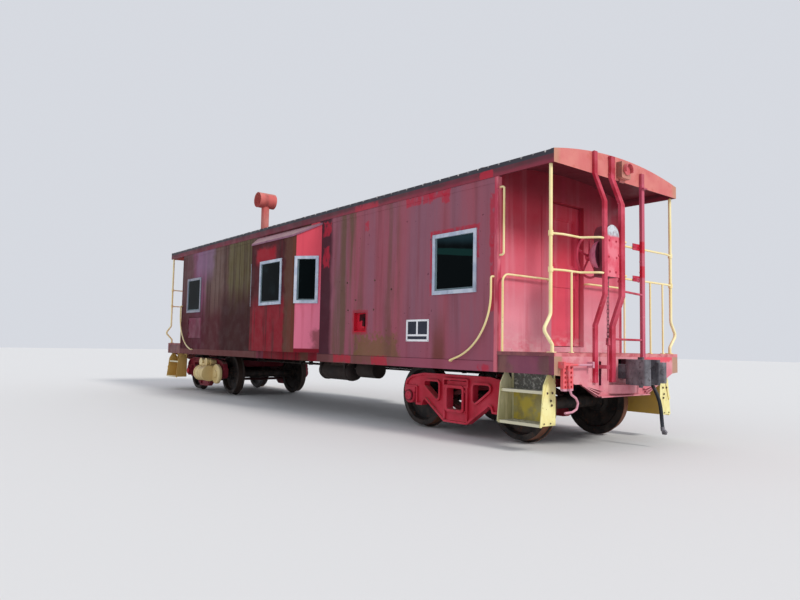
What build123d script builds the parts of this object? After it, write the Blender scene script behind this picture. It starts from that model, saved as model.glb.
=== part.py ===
from build123d import *
import math
import os

os.makedirs("parts", exist_ok=True)

# Bay window caboose, in millimetres. +X is the hand brake end, called front; +Y is its left side.
# Z is up from the lowest point of the wheel flanges. The two ends are alike, turned half a turn.

# driving dimensions: running gear
gauge = 1435
wheel_diameter = 838
flange_height = 28
wheel_base = 1750
truck_spacing = 8040

# driving dimensions: car body
body_length = 9880
body_width = 2520
platform_length = 802
frame_length = body_length + 2 * platform_length
wall = 60
skin = 12
sill_bottom_above_rail = 811
floor_above_rail = 1046
eave_above_rail = 3075
roof_edge_above_rail = 3222
roof_crown_above_rail = 3350

# driving dimensions: bay window
bay_width = 3140
bay_front_length = 1480
bay_length = 2240
bay_bottom_above_rail = 950
bay_front_top_above_rail = 2870
bay_roof_top_above_rail = 3050

# driving dimensions: windows and doors
window_width = 780
window_height = 770
window_bottom_above_rail = 1740
window_frame = 48
end_window_x = 4215
slant_window_width = 410
door_width = 650
door_shift = 55
door_bottom_above_rail = 1120
door_height = 1810
door_thickness = 45
casing_depth = 55
casing_width = 45
hinge_heights = (200, 905, 1610)
hinge_radius = 10
hinge_length = 120
hinge_leaf = 4

# driving dimensions: couplers and train line
coupler_above_rail = 840
coupler_face = 490
shank_size = (130, 165)
hose_y = 330
pipe_diameter = 42
cock_above_rail = 700

# small clearances
seat_gap = 0.3
journal_clearance = 0.8
run_gap = 8

# heights in the part's own frame
rail = flange_height
sill_bottom = rail + sill_bottom_above_rail
floor_top = rail + floor_above_rail
eave = rail + eave_above_rail
roof_edge = rail + roof_edge_above_rail
roof_crown = rail + roof_crown_above_rail
wheel_radius = wheel_diameter / 2
axle_height = rail + wheel_radius
coupler_height = rail + coupler_above_rail
cock_z = rail + cock_above_rail
window_bottom = rail + window_bottom_above_rail
window_centre = window_bottom + window_height / 2
door_bottom = rail + door_bottom_above_rail
bay_bottom = rail + bay_bottom_above_rail
bay_front_top = rail + bay_front_top_above_rail
bay_roof_top = rail + bay_roof_top_above_rail

half_body = body_length / 2
half_width = body_width / 2
half_frame = frame_length / 2
half_bay = bay_width / 2
pivot = truck_spacing / 2
half_base = wheel_base / 2
ends = (("front", 1), ("rear", -1))
sides = (("left", 1), ("right", -1))


def save(builder, name):
    builder.part.label = name
    export_step(builder.part, f"parts/{name}.step")


def end_face(end, distance):
    """The plane across the car at a distance towards one end, with its x to the right seen from there."""
    return Plane(origin=(end * distance, 0, 0), x_dir=(0, end, 0), z_dir=(end, 0, 0))


def bar(points, diameter, bends):
    """A round bar along straight runs, with a bend radius for each corner."""
    with BuildPart() as piece:
        with BuildLine() as route:
            if len(points) > 2:
                FilletPolyline(*points, radius=bends)
            else:
                Line(*points)
        with BuildSketch(Plane(origin=route.line @ 0, z_dir=route.line % 0)):
            Circle(diameter / 2)
        sweep()
    return piece.part


# deck: the floor plate, from end sill to end sill
deck_thickness = 40
under_deck = floor_top - deck_thickness
with BuildPart() as deck:
    with BuildSketch(Plane.XY.offset(under_deck)):
        Rectangle(body_length, body_width - 2 * skin)
        with Locations(((half_body + half_frame) / 2, 0), (-(half_body + half_frame) / 2, 0)):
            Rectangle(half_frame - half_body, body_width)
    extrude(amount=deck_thickness)
save(deck, "deck")

# underframe: the centre sill, a deep channel with lips that runs from end sill to end sill
centre_sill_width = 330
centre_sill_depth = 250
centre_sill_lip = 60
sill_plate = 16
side_sill_width = 70
side_sill_plate = 10
end_sill_thickness = 70
sill_inside = half_width - skin - side_sill_width
sill_length = frame_length - 2 * end_sill_thickness
sill_low = under_deck - centre_sill_depth
with BuildPart() as underframe:
    with BuildSketch(Plane.YZ.offset(-sill_length / 2)):
        with Locations((0, under_deck - centre_sill_depth / 2)):
            Rectangle(centre_sill_width, centre_sill_depth)
        with Locations((0, sill_low + sill_plate / 2)):
            Rectangle(centre_sill_width + 2 * centre_sill_lip, sill_plate)
        with Locations((0, under_deck - sill_plate - centre_sill_depth / 2)):
            Rectangle(centre_sill_width - 2 * sill_plate, centre_sill_depth, mode=Mode.SUBTRACT)
    extrude(amount=sill_length)
save(underframe, "underframe")

# side sills: a channel under each edge of the deck, open inwards
with BuildPart() as side_sills:
    with BuildSketch(Plane.YZ.offset(-sill_length / 2)):
        for _, side in sides:
            middle = (side * (sill_inside + side_sill_width / 2), (sill_bottom + under_deck) / 2)
            with Locations(middle):
                Rectangle(side_sill_width, under_deck - sill_bottom)
            with Locations((middle[0] - side * side_sill_plate, middle[1])):
                Rectangle(side_sill_width, under_deck - sill_bottom - 2 * side_sill_plate, mode=Mode.SUBTRACT)
    extrude(amount=sill_length)
save(side_sills, "side_sills")

# cross bearers: a tapered web on a flange, from the centre sill to each side sill
cross_bearer_width = 110
cross_bearer_depth = 150
bearer_end_depth = 90
bearer_web = 14
cross_bearers = (-1900, -700, 700, 1400, 2200)


def bearer_underside(y):
    """The height of a cross bearer's sloping underside at a distance from the car's centre line."""
    run = (abs(y) - centre_sill_width / 2 - seat_gap) / (sill_inside - centre_sill_width / 2 - seat_gap)
    return under_deck - cross_bearer_depth + (cross_bearer_depth - bearer_end_depth) * run


with BuildPart() as cross_bearer_parts:
    for x in cross_bearers:
        for _, side in sides:
            root = side * (centre_sill_width / 2 + seat_gap)
            tip = side * sill_inside
            for half, low_root, low_tip in (
                (bearer_web / 2, under_deck - cross_bearer_depth, under_deck - bearer_end_depth),
                (cross_bearer_width / 2, None, None),
            ):
                with BuildSketch(Plane.YZ.offset(x)):
                    with BuildLine():
                        if low_root is not None:
                            Polyline((root, under_deck), (root, low_root), (tip, low_tip), (tip, under_deck), close=True)
                        else:
                            root_z = under_deck - cross_bearer_depth
                            tip_z = under_deck - bearer_end_depth
                            Polyline(
                                (root, root_z), (tip, tip_z), (tip, tip_z + bearer_web), (root, root_z + bearer_web),
                                close=True,
                            )
                    make_face()
                extrude(amount=half, both=True)
save(cross_bearer_parts, "cross_bearers")

# body bolsters: a box across the car over each truck, with the centre plate and its king pin
body_bolster_width = 340
side_bearing_y = 635
side_bearing_reach = 110
side_bearing_bottom = rail + 742
bolster_end_bottom = rail + 850
centre_plate_diameter = 300
centre_plate_bottom = rail + 700
king_pin_diameter = 44
king_pin_length = 70
with BuildPart() as body_bolsters:
    for _, end in ends:
        with BuildSketch(Plane.YZ.offset(end * pivot)):
            with BuildLine():
                Polyline(
                    (-sill_inside, under_deck),
                    (-sill_inside, bolster_end_bottom),
                    (-side_bearing_y - side_bearing_reach, bolster_end_bottom),
                    (-side_bearing_y, side_bearing_bottom),
                    (side_bearing_y, side_bearing_bottom),
                    (side_bearing_y + side_bearing_reach, bolster_end_bottom),
                    (sill_inside, bolster_end_bottom),
                    (sill_inside, under_deck),
                    close=True,
                )
            make_face()
            with Locations((0, under_deck - centre_sill_depth / 2)):
                Rectangle(centre_sill_width + 2 * seat_gap, centre_sill_depth + 2 * seat_gap, mode=Mode.SUBTRACT)
            with Locations((0, sill_low + sill_plate / 2)):
                lip_width = centre_sill_width + 2 * centre_sill_lip
                Rectangle(lip_width + 2 * seat_gap, sill_plate + 2 * seat_gap, mode=Mode.SUBTRACT)
        extrude(amount=body_bolster_width / 2, both=True)
        with BuildSketch(Plane.XY.offset(centre_plate_bottom)):
            with Locations((end * pivot, 0)):
                Circle(centre_plate_diameter / 2)
        extrude(amount=side_bearing_bottom - centre_plate_bottom + 5)
        with BuildSketch(Plane.XY.offset(centre_plate_bottom - king_pin_length)):
            with Locations((end * pivot, 0)):
                Circle(king_pin_diameter / 2)
        extrude(amount=king_pin_length)
save(body_bolsters, "body_bolsters")

# end sills: a deep plate across each end that drops to the draft pan, with openings for the coupler shank,
# the brake pipe and, at the brake end, the pull rod
shank_play = 20
shank_lift = 60
pan_plate = 24
pan_profile = (
    (half_width, sill_bottom_above_rail),
    (half_width - 130, sill_bottom_above_rail - 11),
    (half_width - 360, 705),
    (795, 705),
    (500, 555),
)
pan_lip = 60
pan_lip_thickness = 14
rib_start = (820, 700)
rib_ends = ((500, 566), (462, 592), (430, 622))
rib_thickness = 9
flare_half_width = 300
flare_reach = 105
flare_heights = (592, 690)
flare_thickness = 16
slot_y = -442
slot_size = (46, 270)
slot_height = rail + 820
pipe_hole_clearance = 9
with BuildPart() as end_sills:
    for _, end in ends:
        lower_edge = [(y, rail + z) for y, z in pan_profile]
        with BuildSketch(end_face(end, half_frame)):
            with BuildLine():
                Polyline(
                    (half_width, under_deck),
                    *lower_edge,
                    *[(-y, z) for y, z in reversed(lower_edge)],
                    (-half_width, under_deck),
                    close=True,
                )
            make_face()
        extrude(amount=-end_sill_thickness)
        with BuildSketch(end_face(end, half_frame - pan_plate)):
            with Locations((0, sill_bottom - 200)):
                Rectangle(2 * half_width, 400)
        extrude(amount=-end_sill_thickness, mode=Mode.SUBTRACT)
        with BuildSketch(end_face(end, half_frame)):
            with Locations((0, coupler_height + (shank_lift - seat_gap) / 2)):
                Rectangle(shank_size[0] + 2 * shank_play, shank_size[1] + shank_lift + seat_gap)
            with Locations((hose_y, cock_z)):
                Circle(pipe_diameter / 2 + pipe_hole_clearance)
            if end > 0:
                with Locations((slot_y, slot_height)):
                    Rectangle(*slot_size)
        extrude(amount=-end_sill_thickness, mode=Mode.SUBTRACT)
        pan_half, pan_low = pan_profile[-1]
        with BuildSketch(Plane.XY.offset(rail + pan_low)):
            with Locations((end * (half_frame + (pan_lip - pan_plate) / 2), 0)):
                Rectangle(pan_lip + pan_plate, 2 * pan_half)
        extrude(amount=pan_lip_thickness)
        with BuildSketch(end_face(end, half_frame)):
            for hand in (1, -1):
                for rib_y, rib_z in rib_ends:
                    with BuildLine():
                        Polyline(
                            (hand * rib_start[0], rail + rib_start[1] + rib_thickness / 2),
                            (hand * rib_y, rail + rib_z + rib_thickness),
                            (hand * rib_y, rail + rib_z),
                            (hand * rib_start[0], rail + rib_start[1] - rib_thickness / 2),
                            close=True,
                        )
                    make_face()
        extrude(amount=pan_lip / 2)
        with BuildSketch(Plane.XY.offset(rail + flare_heights[0])):
            with BuildLine():
                rear_line = end * (half_frame - pan_plate / 2)
                ThreePointArc(
                    (rear_line, -flare_half_width),
                    (end * (half_frame + flare_reach), 0),
                    (rear_line, flare_half_width),
                )
                Line((rear_line, flare_half_width), (rear_line, -flare_half_width))
            make_face()
            offset(amount=-flare_thickness, kind=Kind.INTERSECTION, mode=Mode.SUBTRACT)
        extrude(amount=flare_heights[1] - flare_heights[0])
save(end_sills, "end_sills")

# side walls: on each side a panel ahead of the bay and one behind it, of steel skin down to the sill and
# lining above the floor, with a window each
bay_doorway = bay_length - 2 * wall
bay_doorway_top = eave - 120
opening = (window_width - window_frame, window_height - window_frame)
locker_x = -4125
locker_size = (690, 450)
locker_bottom = rail + 1170
locker_recess = 26
sill_band = 122
top_band = 70
corner_strip = 50
band_thickness = 4
band_gap = 20
recess_x = 2235
recess_size = (290, 270)
recess_height = rail + 1425
recess_depth = 44
recess_rim = 12
locker_hinges = (90, 360)
locker_hinge_radius = 6
locker_hinge_length = 90
locker_leaf = 3
locker_hinge_x = locker_x - locker_size[0] / 2 - run_gap / 2
locker_hinge_y = -half_width - locker_hinge_radius - seat_gap
for name, side in sides:
    outer = Plane.XZ.offset(-side * half_width)
    with BuildPart() as side_wall:
        for plane, low, depth in ((outer, sill_bottom, skin), (outer.offset(side * skin), floor_top, wall - skin)):
            with BuildSketch(plane):
                with Locations((0, (low + eave) / 2)):
                    Rectangle(body_length, eave - low)
                    Rectangle(bay_doorway, eave - low, mode=Mode.SUBTRACT)
                with Locations((end_window_x, window_centre), (-end_window_x, window_centre)):
                    Rectangle(*opening, mode=Mode.SUBTRACT)
                if side < 0 and depth == skin:
                    with Locations((locker_x, locker_bottom + locker_size[1] / 2)):
                        Rectangle(locker_size[0] + 2 * run_gap, locker_size[1] + 2 * run_gap, mode=Mode.SUBTRACT)
            extrude(amount=side * depth)
        with BuildSketch(outer):
            with Locations((0, sill_bottom + sill_band / 2)):
                Rectangle(body_length, sill_band)
            with Locations((0, eave - top_band / 2)):
                Rectangle(body_length, top_band)
            with Locations(*[(end * (half_body - corner_strip / 2), (sill_bottom + eave) / 2) for _, end in ends]):
                Rectangle(corner_strip, eave - sill_bottom)
            with Locations((0, (sill_bottom + eave) / 2)):
                Rectangle(bay_length + 2 * band_gap, eave - sill_bottom, mode=Mode.SUBTRACT)
        extrude(amount=-side * band_thickness)
        if side < 0:
            with BuildSketch(outer):
                with Locations((recess_x, recess_height)):
                    Rectangle(*recess_size)
            extrude(amount=-recess_depth, mode=Mode.SUBTRACT)
            with BuildSketch(outer):
                with Locations((recess_x, recess_height)):
                    Rectangle(recess_size[0] + 2 * recess_rim, recess_size[1] + 2 * recess_rim)
                    Rectangle(*recess_size, mode=Mode.SUBTRACT)
            extrude(amount=band_thickness)
            with BuildSketch(outer.offset(-recess_depth)):
                with Locations((recess_x + 30, recess_height - 20)):
                    Rectangle(90, 150)
            extrude(amount=18)
            with BuildSketch(outer.offset(-skin)):
                with Locations((locker_x, locker_bottom + locker_size[1] / 2)):
                    Rectangle(locker_size[0] + 2 * run_gap, locker_size[1] + 2 * run_gap)
            extrude(amount=-locker_recess, mode=Mode.SUBTRACT)
            for height in locker_hinges:
                for shift in (-1, 1):
                    middle = locker_bottom + height + shift * locker_hinge_length / 3
                    with BuildSketch(Plane.XY.offset(middle)):
                        with Locations((locker_hinge_x, locker_hinge_y)):
                            Circle(locker_hinge_radius)
                        with Locations((locker_hinge_x - 20, -half_width - locker_leaf / 2)):
                            Rectangle(40, locker_leaf)
                    extrude(amount=locker_hinge_length / 6 - seat_gap / 2, both=True)
    save(side_wall, f"{name}_side_wall")

# the header over each bay's doorway and the skin below its floor, between the side's two panels
with BuildPart() as bay_portals:
    for _, side in sides:
        outer = Plane.XZ.offset(-side * half_width)
        for low, top, depth in ((bay_doorway_top, eave, wall), (sill_bottom, floor_top - seat_gap, skin)):
            with BuildSketch(outer):
                with Locations((0, (low + top) / 2)):
                    Rectangle(bay_doorway - 2 * seat_gap, top - low)
            extrude(amount=side * depth)
save(bay_portals, "bay_portals")

# roof arch: the height of its underside over a point across the car
roof_width = body_width + 20
roof_length = frame_length
roof_thickness = 60
roof_lip = 30
fascia_thickness = 12
seam_count = 11
seam_width = 45
seam_rise = 4
roof_rise = roof_crown - roof_edge
under_chord = roof_width / 2 - roof_lip
under_radius = (under_chord**2 + roof_rise**2) / (2 * roof_rise)


def roof_underside(y):
    return roof_crown - roof_thickness - (under_radius - math.sqrt(under_radius**2 - y**2))


# end walls, with the door opening, up to the underside of the roof arch
end_wall_half = half_width - wall
door_centre = door_bottom + door_height / 2
casing_face = half_body - wall - casing_depth
hinge_x = casing_face - hinge_radius - 1
hinge_y = door_shift + door_width / 2 + run_gap / 2
for name, end in ends:
    with BuildPart() as end_wall:
        with BuildSketch(end_face(end, half_body)):
            shoulder = roof_underside(end_wall_half) - seat_gap
            with BuildLine():
                Polyline(
                    (end_wall_half, shoulder),
                    (end_wall_half, floor_top),
                    (-end_wall_half, floor_top),
                    (-end_wall_half, shoulder),
                )
                ThreePointArc(
                    (-end_wall_half, shoulder), (0, roof_underside(0) - seat_gap), (end_wall_half, shoulder)
                )
            make_face()
            with Locations((door_shift, door_centre)):
                Rectangle(door_width + 2 * run_gap, door_height + 2 * run_gap, mode=Mode.SUBTRACT)
        extrude(amount=-wall)
        with BuildSketch(end_face(end, half_body - wall)):
            with Locations((door_shift, door_centre)):
                outer_casing = (door_width + 2 * run_gap + 2 * casing_width, door_height + 2 * run_gap + 2 * casing_width)
                Rectangle(*outer_casing)
                Rectangle(door_width + 2 * run_gap, door_height + 2 * run_gap, mode=Mode.SUBTRACT)
        extrude(amount=-casing_depth)
        for height in hinge_heights:
            for shift in (-1, 1):
                with BuildSketch(Plane.XY.offset(door_bottom + height + shift * hinge_length / 3)):
                    with Locations((end * hinge_x, end * hinge_y)):
                        Circle(hinge_radius)
                    with Locations((end * (casing_face - hinge_leaf / 2), end * (hinge_y + 25))):
                        Rectangle(hinge_leaf, 50)
                extrude(amount=hinge_length / 6 - seat_gap / 2, both=True)
    save(end_wall, f"{name}_end_wall")

# smoke stack: where it passes through the roof
stack_x = -2200
stack_y = -600
stack_radius = 80
stack_wall = 6

# roof: arched sheet over the body and both platforms, closed by a fascia at each end
roof_slices = (
    (-roof_length / 2, fascia_thickness, False),
    (-roof_length / 2 + fascia_thickness, roof_length - 2 * fascia_thickness, True),
    (roof_length / 2 - fascia_thickness, fascia_thickness, False),
)
with BuildPart() as roof:
    for start, length, hollow in roof_slices:
        with BuildSketch(Plane.YZ.offset(start)):
            with BuildLine():
                Polyline(
                    (roof_width / 2, roof_edge),
                    (roof_width / 2, eave),
                    (-roof_width / 2, eave),
                    (-roof_width / 2, roof_edge),
                )
                ThreePointArc((-roof_width / 2, roof_edge), (0, roof_crown), (roof_width / 2, roof_edge))
            make_face()
            if hollow:
                shoulder = roof_edge - roof_thickness
                with BuildLine():
                    Polyline((under_chord, shoulder), (under_chord, eave), (-under_chord, eave), (-under_chord, shoulder))
                    ThreePointArc((-under_chord, shoulder), (0, roof_crown - roof_thickness), (under_chord, shoulder))
                make_face(mode=Mode.SUBTRACT)
        extrude(amount=length)
    seam_pitch = (roof_length - seam_width) / seam_count
    for number in range(seam_count + 1):
        with BuildSketch(Plane.YZ.offset(-roof_length / 2 + number * seam_pitch)):
            with BuildLine():
                edge = (roof_width / 2, roof_edge + seam_rise)
                ThreePointArc((-edge[0], edge[1]), (0, roof_crown + seam_rise), edge)
                Line(edge, (edge[0], roof_edge))
                ThreePointArc((edge[0], roof_edge), (0, roof_crown), (-edge[0], roof_edge))
                Line((-edge[0], roof_edge), (-edge[0], edge[1]))
            make_face()
        extrude(amount=seam_width)
    with BuildSketch(Plane.XY.offset(eave)):
        with Locations((stack_x, stack_y)):
            Circle(stack_radius + seat_gap)
    extrude(amount=roof_crown - eave + seam_rise, mode=Mode.SUBTRACT)
save(roof, "roof")

# bay windows: front panel, two slanted panels, floor and lean-to roof, open towards the car
bay_wall = 45
bay_floor = floor_top - bay_bottom
bay_roof_thickness = 30
slant_run = (bay_length - bay_front_length) / 2
slant_rise = half_bay - half_width
slant_angle = math.degrees(math.atan2(slant_rise, slant_run))
slant_middle = (bay_front_length + bay_length) / 4
slant_opening = (slant_window_width - window_frame, opening[1])
bay_reach = 200


def bay_plan(side, back):
    """Corners of the bay in plan, with its slanted panels run on back to a line inside the car."""
    back_half = bay_length / 2 + (half_width - back) * slant_run / slant_rise
    return (
        (-back_half, side * back),
        (-bay_front_length / 2, side * half_bay),
        (bay_front_length / 2, side * half_bay),
        (back_half, side * back),
    )


def lean_to(side, drop):
    """The space above the bay's sloping roof, as an outline across the car."""
    slope = (bay_roof_top - bay_front_top) / slant_rise
    return (
        (side * half_width, bay_roof_top - drop),
        (side * (half_bay + bay_reach), bay_front_top - slope * bay_reach - drop),
        (side * (half_bay + bay_reach), roof_crown),
        (side * half_width, roof_crown),
    )


def slant_plane(side, hand):
    """The outer face of a slanted panel, hand +1 towards the front end of the car."""
    across = math.radians(slant_angle)
    normal = (hand * math.sin(across), side * math.cos(across), 0)
    middle = (hand * slant_middle, side * (half_width + half_bay) / 2, window_centre)
    return Plane(origin=middle, x_dir=(hand * math.cos(across), -side * math.sin(across), 0), z_dir=normal)


def front_plane(side):
    return Plane(origin=(0, side * half_bay, window_centre), x_dir=(1, 0, 0), z_dir=(0, side, 0))


def bay_panels(side):
    """The front panel and the two slanted panels in plan, mitred where they meet, each with its window."""
    mitre = bay_wall * math.tan(math.radians(slant_angle) / 2)
    along = math.radians(slant_angle)
    gap = seat_gap / 2
    front = (
        (-bay_front_length / 2 + gap, side * half_bay),
        (bay_front_length / 2 - gap, side * half_bay),
        (bay_front_length / 2 - mitre - gap, side * (half_bay - bay_wall)),
        (-bay_front_length / 2 + mitre + gap, side * (half_bay - bay_wall)),
    )
    yield front, front_plane(side), opening
    for hand in (1, -1):
        step = (gap * math.cos(along), -gap * math.sin(along))
        slant = (
            (hand * (bay_front_length / 2 + step[0]), side * (half_bay + step[1])),
            (hand * bay_length / 2, side * half_width),
            (hand * (bay_length / 2 - bay_wall / math.sin(along)), side * half_width),
            (hand * (bay_front_length / 2 - mitre + step[0]), side * (half_bay - bay_wall + step[1])),
        )
        yield slant, slant_plane(side, hand), slant_opening


def bay_panel(side, outline, window_plane, hole):
    """One panel of a bay: its plan carried up to the underside of the bay's roof, with the window cut out."""
    with BuildPart() as panel:
        with BuildSketch(Plane.XY.offset(bay_bottom)):
            with BuildLine():
                Polyline(*outline, close=True)
            make_face()
        extrude(amount=bay_roof_top - bay_bottom)
        with BuildSketch(Plane.YZ.offset(-bay_length)):
            with BuildLine():
                Polyline(*lean_to(side, bay_roof_thickness + seat_gap), close=True)
            make_face()
        extrude(amount=2 * bay_length, mode=Mode.SUBTRACT)
        with BuildSketch(window_plane):
            Rectangle(*hole)
        extrude(amount=-2 * bay_wall, mode=Mode.SUBTRACT)
    return panel.part


for name, side in sides:
    with BuildPart() as bay:
        for outline, window_plane, hole in bay_panels(side):
            add(bay_panel(side, outline, window_plane, hole))
    save(bay, f"{name}_bay")

# bay floors, a plate that closes each bay from below inside its panels and reaches in over the sill
floor_front_half = bay_front_length / 2 - (bay_wall + seat_gap) * math.tan(math.radians(slant_angle) / 2)
floor_back_half = bay_length / 2 - (bay_wall + seat_gap) / math.sin(math.radians(slant_angle))
with BuildPart() as bay_floors:
    for _, side in sides:
        with BuildSketch(Plane.XY.offset(bay_bottom)):
            with BuildLine():
                Polyline(
                    (-floor_front_half, side * (half_bay - bay_wall - seat_gap)),
                    (floor_front_half, side * (half_bay - bay_wall - seat_gap)),
                    (floor_back_half, side * (half_width + seat_gap)),
                    (-floor_back_half, side * (half_width + seat_gap)),
                    close=True,
                )
            make_face()
        extrude(amount=bay_floor)
save(bay_floors, "bay_floors")

# bay roofs, a sheet on each bay that slopes down and out to a drip edge
drip = 14


def bay_roof(side):
    """The roof sheet of one bay: the slice between two sloping planes over the bay's plan."""
    with BuildPart() as sheet:
        with BuildSketch(Plane.YZ.offset(-bay_length / 2 - drip)):
            slope = (bay_roof_top - bay_front_top) / slant_rise
            edge = half_bay + drip
            with BuildLine():
                Polyline(
                    (side * half_width, bay_roof_top),
                    (side * edge, bay_front_top - slope * drip),
                    (side * edge, bay_front_top - slope * drip - bay_roof_thickness),
                    (side * half_width, bay_roof_top - bay_roof_thickness),
                    close=True,
                )
            make_face()
        extrude(amount=bay_length + 2 * drip)
        with BuildSketch(Plane.XY.offset(bay_bottom)):
            with BuildLine():
                Polyline(*bay_plan(side, half_width - 2 * bay_reach), close=True)
            make_face()
            offset(amount=drip, kind=Kind.INTERSECTION)
        extrude(amount=roof_crown - bay_bottom, mode=Mode.INTERSECT)
    return sheet.part


with BuildPart() as bay_roofs:
    for _, side in sides:
        add(bay_roof(side))
save(bay_roofs, "bay_roofs")

# windows: an aluminium frame on the wall's face and a pane behind it, in each opening
frame_depth = 16
pane_thickness = 8
window_places = []
for _, side in sides:
    window_places.append((front_plane(side), (window_width, window_height), opening))
    for hand in (1, -1):
        wall_window = Plane(
            origin=(hand * end_window_x, side * half_width, window_centre), x_dir=(1, 0, 0), z_dir=(0, side, 0)
        )
        window_places.append((wall_window, (window_width, window_height), opening))
        window_places.append((slant_plane(side, hand), (slant_window_width, window_height), slant_opening))
with BuildPart() as window_frames:
    for plane, outer_size, _ in window_places:
        with BuildSketch(plane):
            Rectangle(*outer_size)
            Rectangle(outer_size[0] - 2 * window_frame, outer_size[1] - 2 * window_frame, mode=Mode.SUBTRACT)
        extrude(amount=frame_depth)
save(window_frames, "window_frames")
with BuildPart() as window_glass:
    for plane, _, hole in window_places:
        with BuildSketch(plane.offset(-seat_gap)):
            Rectangle(hole[0] - 2 * seat_gap, hole[1] - 2 * seat_gap)
        extrude(amount=-pane_thickness)
save(window_glass, "window_glass")

# end doors, hinged at their inner edge to swing into the car, with a fixed pane
door_pane = (400, 560)
door_pane_height = door_bottom + 1330
door_panels = ((430, (470, 640)), (1330, (450, 610)))
door_panel_depth = 8
for name, end in ends:
    inner_face = end_face(end, casing_face)
    with BuildPart() as door:
        with BuildSketch(inner_face):
            with Locations((door_shift, door_centre)):
                Rectangle(door_width, door_height)
            with Locations((door_shift, door_pane_height)):
                Rectangle(*door_pane, mode=Mode.SUBTRACT)
        extrude(amount=door_thickness)
        with BuildSketch(inner_face.offset(door_thickness)):
            for height, size in door_panels:
                with Locations((door_shift, door_bottom + height)):
                    Rectangle(*size)
        extrude(amount=-door_panel_depth, mode=Mode.SUBTRACT)
        with BuildSketch(inner_face.offset(door_thickness)):
            with Locations((door_shift + door_width / 2 - 45, door_bottom + 940)):
                Rectangle(40, 150)
        extrude(amount=8)
        with BuildSketch(inner_face.offset(door_thickness + 8)):
            with Locations((door_shift + door_width / 2 - 45, door_bottom + 965)):
                Circle(11)
        extrude(amount=36)
        with BuildSketch(inner_face.offset(door_thickness + 30)):
            with Locations((door_shift + door_width / 2 - 85, door_bottom + 965)):
                SlotOverall(110, 20)
        extrude(amount=14)
        for height in hinge_heights:
            with BuildSketch(Plane.XY.offset(door_bottom + height)):
                with Locations((end * hinge_x, end * hinge_y)):
                    Circle(hinge_radius)
                with Locations((end * (casing_face - hinge_leaf / 2), end * (hinge_y - 25))):
                    Rectangle(hinge_leaf, 50)
            extrude(amount=hinge_length / 6 - seat_gap / 2, both=True)
    save(door, f"{name}_door")
    with BuildPart() as door_glass:
        with BuildSketch(inner_face.offset((door_thickness - pane_thickness) / 2)):
            with Locations((door_shift, door_pane_height)):
                Rectangle(door_pane[0] - 2 * seat_gap, door_pane[1] - 2 * seat_gap)
        extrude(amount=pane_thickness)
    save(door_glass, f"{name}_door_glass")

# locker door: a hinged steel panel in the right side's skin, proud of it by its hinge strap
locker_thickness = 10
with BuildPart() as locker_door:
    with BuildSketch(Plane.XZ.offset(half_width)):
        with Locations((locker_x, locker_bottom + locker_size[1] / 2)):
            Rectangle(*locker_size)
    extrude(amount=-locker_thickness)
    for height in locker_hinges:
        with BuildSketch(Plane.XY.offset(locker_bottom + height)):
            with Locations((locker_hinge_x, locker_hinge_y)):
                Circle(locker_hinge_radius)
            with Locations((locker_hinge_x + 30, -half_width - locker_leaf / 2)):
                Rectangle(60, locker_leaf)
        extrude(amount=locker_hinge_length / 6 - seat_gap / 2, both=True)
save(locker_door, "locker_door")

# steps: two side plates with a chamfered top, two treads and a back plate, hung under each platform corner
step_plate = 10
step_x = (half_frame - 747, half_frame - 142)
step_back = half_width - 197
step_top = sill_bottom_above_rail
tread_lip = 22
step_brace = tuple((half_width + y, z) for y, z in ((-110, 800), (-75, 800), (40, 470), (5, 455)))
brace_thickness = 8
step_profile = (
    (step_back, 268),
    (half_width + 55, 268),
    (half_width + 6, 695),
    (half_width - 65, step_top),
    (half_width - 118, step_top),
    (step_back, step_top - 106),
)
tread_heights = (287, 634)
tread_front = {287: half_width + 45, 634: half_width + 2}
with BuildPart() as steps:
    for _, end in ends:
        for _, side in sides:
            for x in step_x:
                with BuildSketch(Plane.YZ.offset(end * x)):
                    with BuildLine():
                        Polyline(*[(side * y, rail + z) for y, z in step_profile], close=True)
                    make_face()
                extrude(amount=end * step_plate)
            tread_centre = end * (step_x[0] + step_x[1] + step_plate) / 2
            for height in tread_heights:
                depth = tread_front[height] - step_back
                with BuildSketch(Plane.XY.offset(rail + height)):
                    with Locations((tread_centre, side * (step_back + depth / 2))):
                        Rectangle(step_x[1] - step_x[0], depth)
                extrude(amount=-step_plate)
            with BuildSketch(Plane.XY.offset(rail + tread_heights[0])):
                with Locations((tread_centre, side * (step_back + step_plate / 2))):
                    Rectangle(step_x[1] - step_x[0], step_plate)
            extrude(amount=step_top - tread_heights[0] - seat_gap)
            for height in tread_heights:
                with BuildSketch(Plane.XY.offset(rail + height - step_plate)):
                    with Locations((tread_centre, side * (tread_front[height] - tread_lip / 2))):
                        Rectangle(step_x[1] - step_x[0], tread_lip)
                extrude(amount=-tread_lip)
            with BuildSketch(Plane.YZ.offset(end * (step_x[1] + step_plate))):
                with BuildLine():
                    Polyline(*[(side * y, rail + z) for y, z in step_brace], close=True)
                make_face()
            extrude(amount=end * brace_thickness)
save(steps, "steps")

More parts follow.
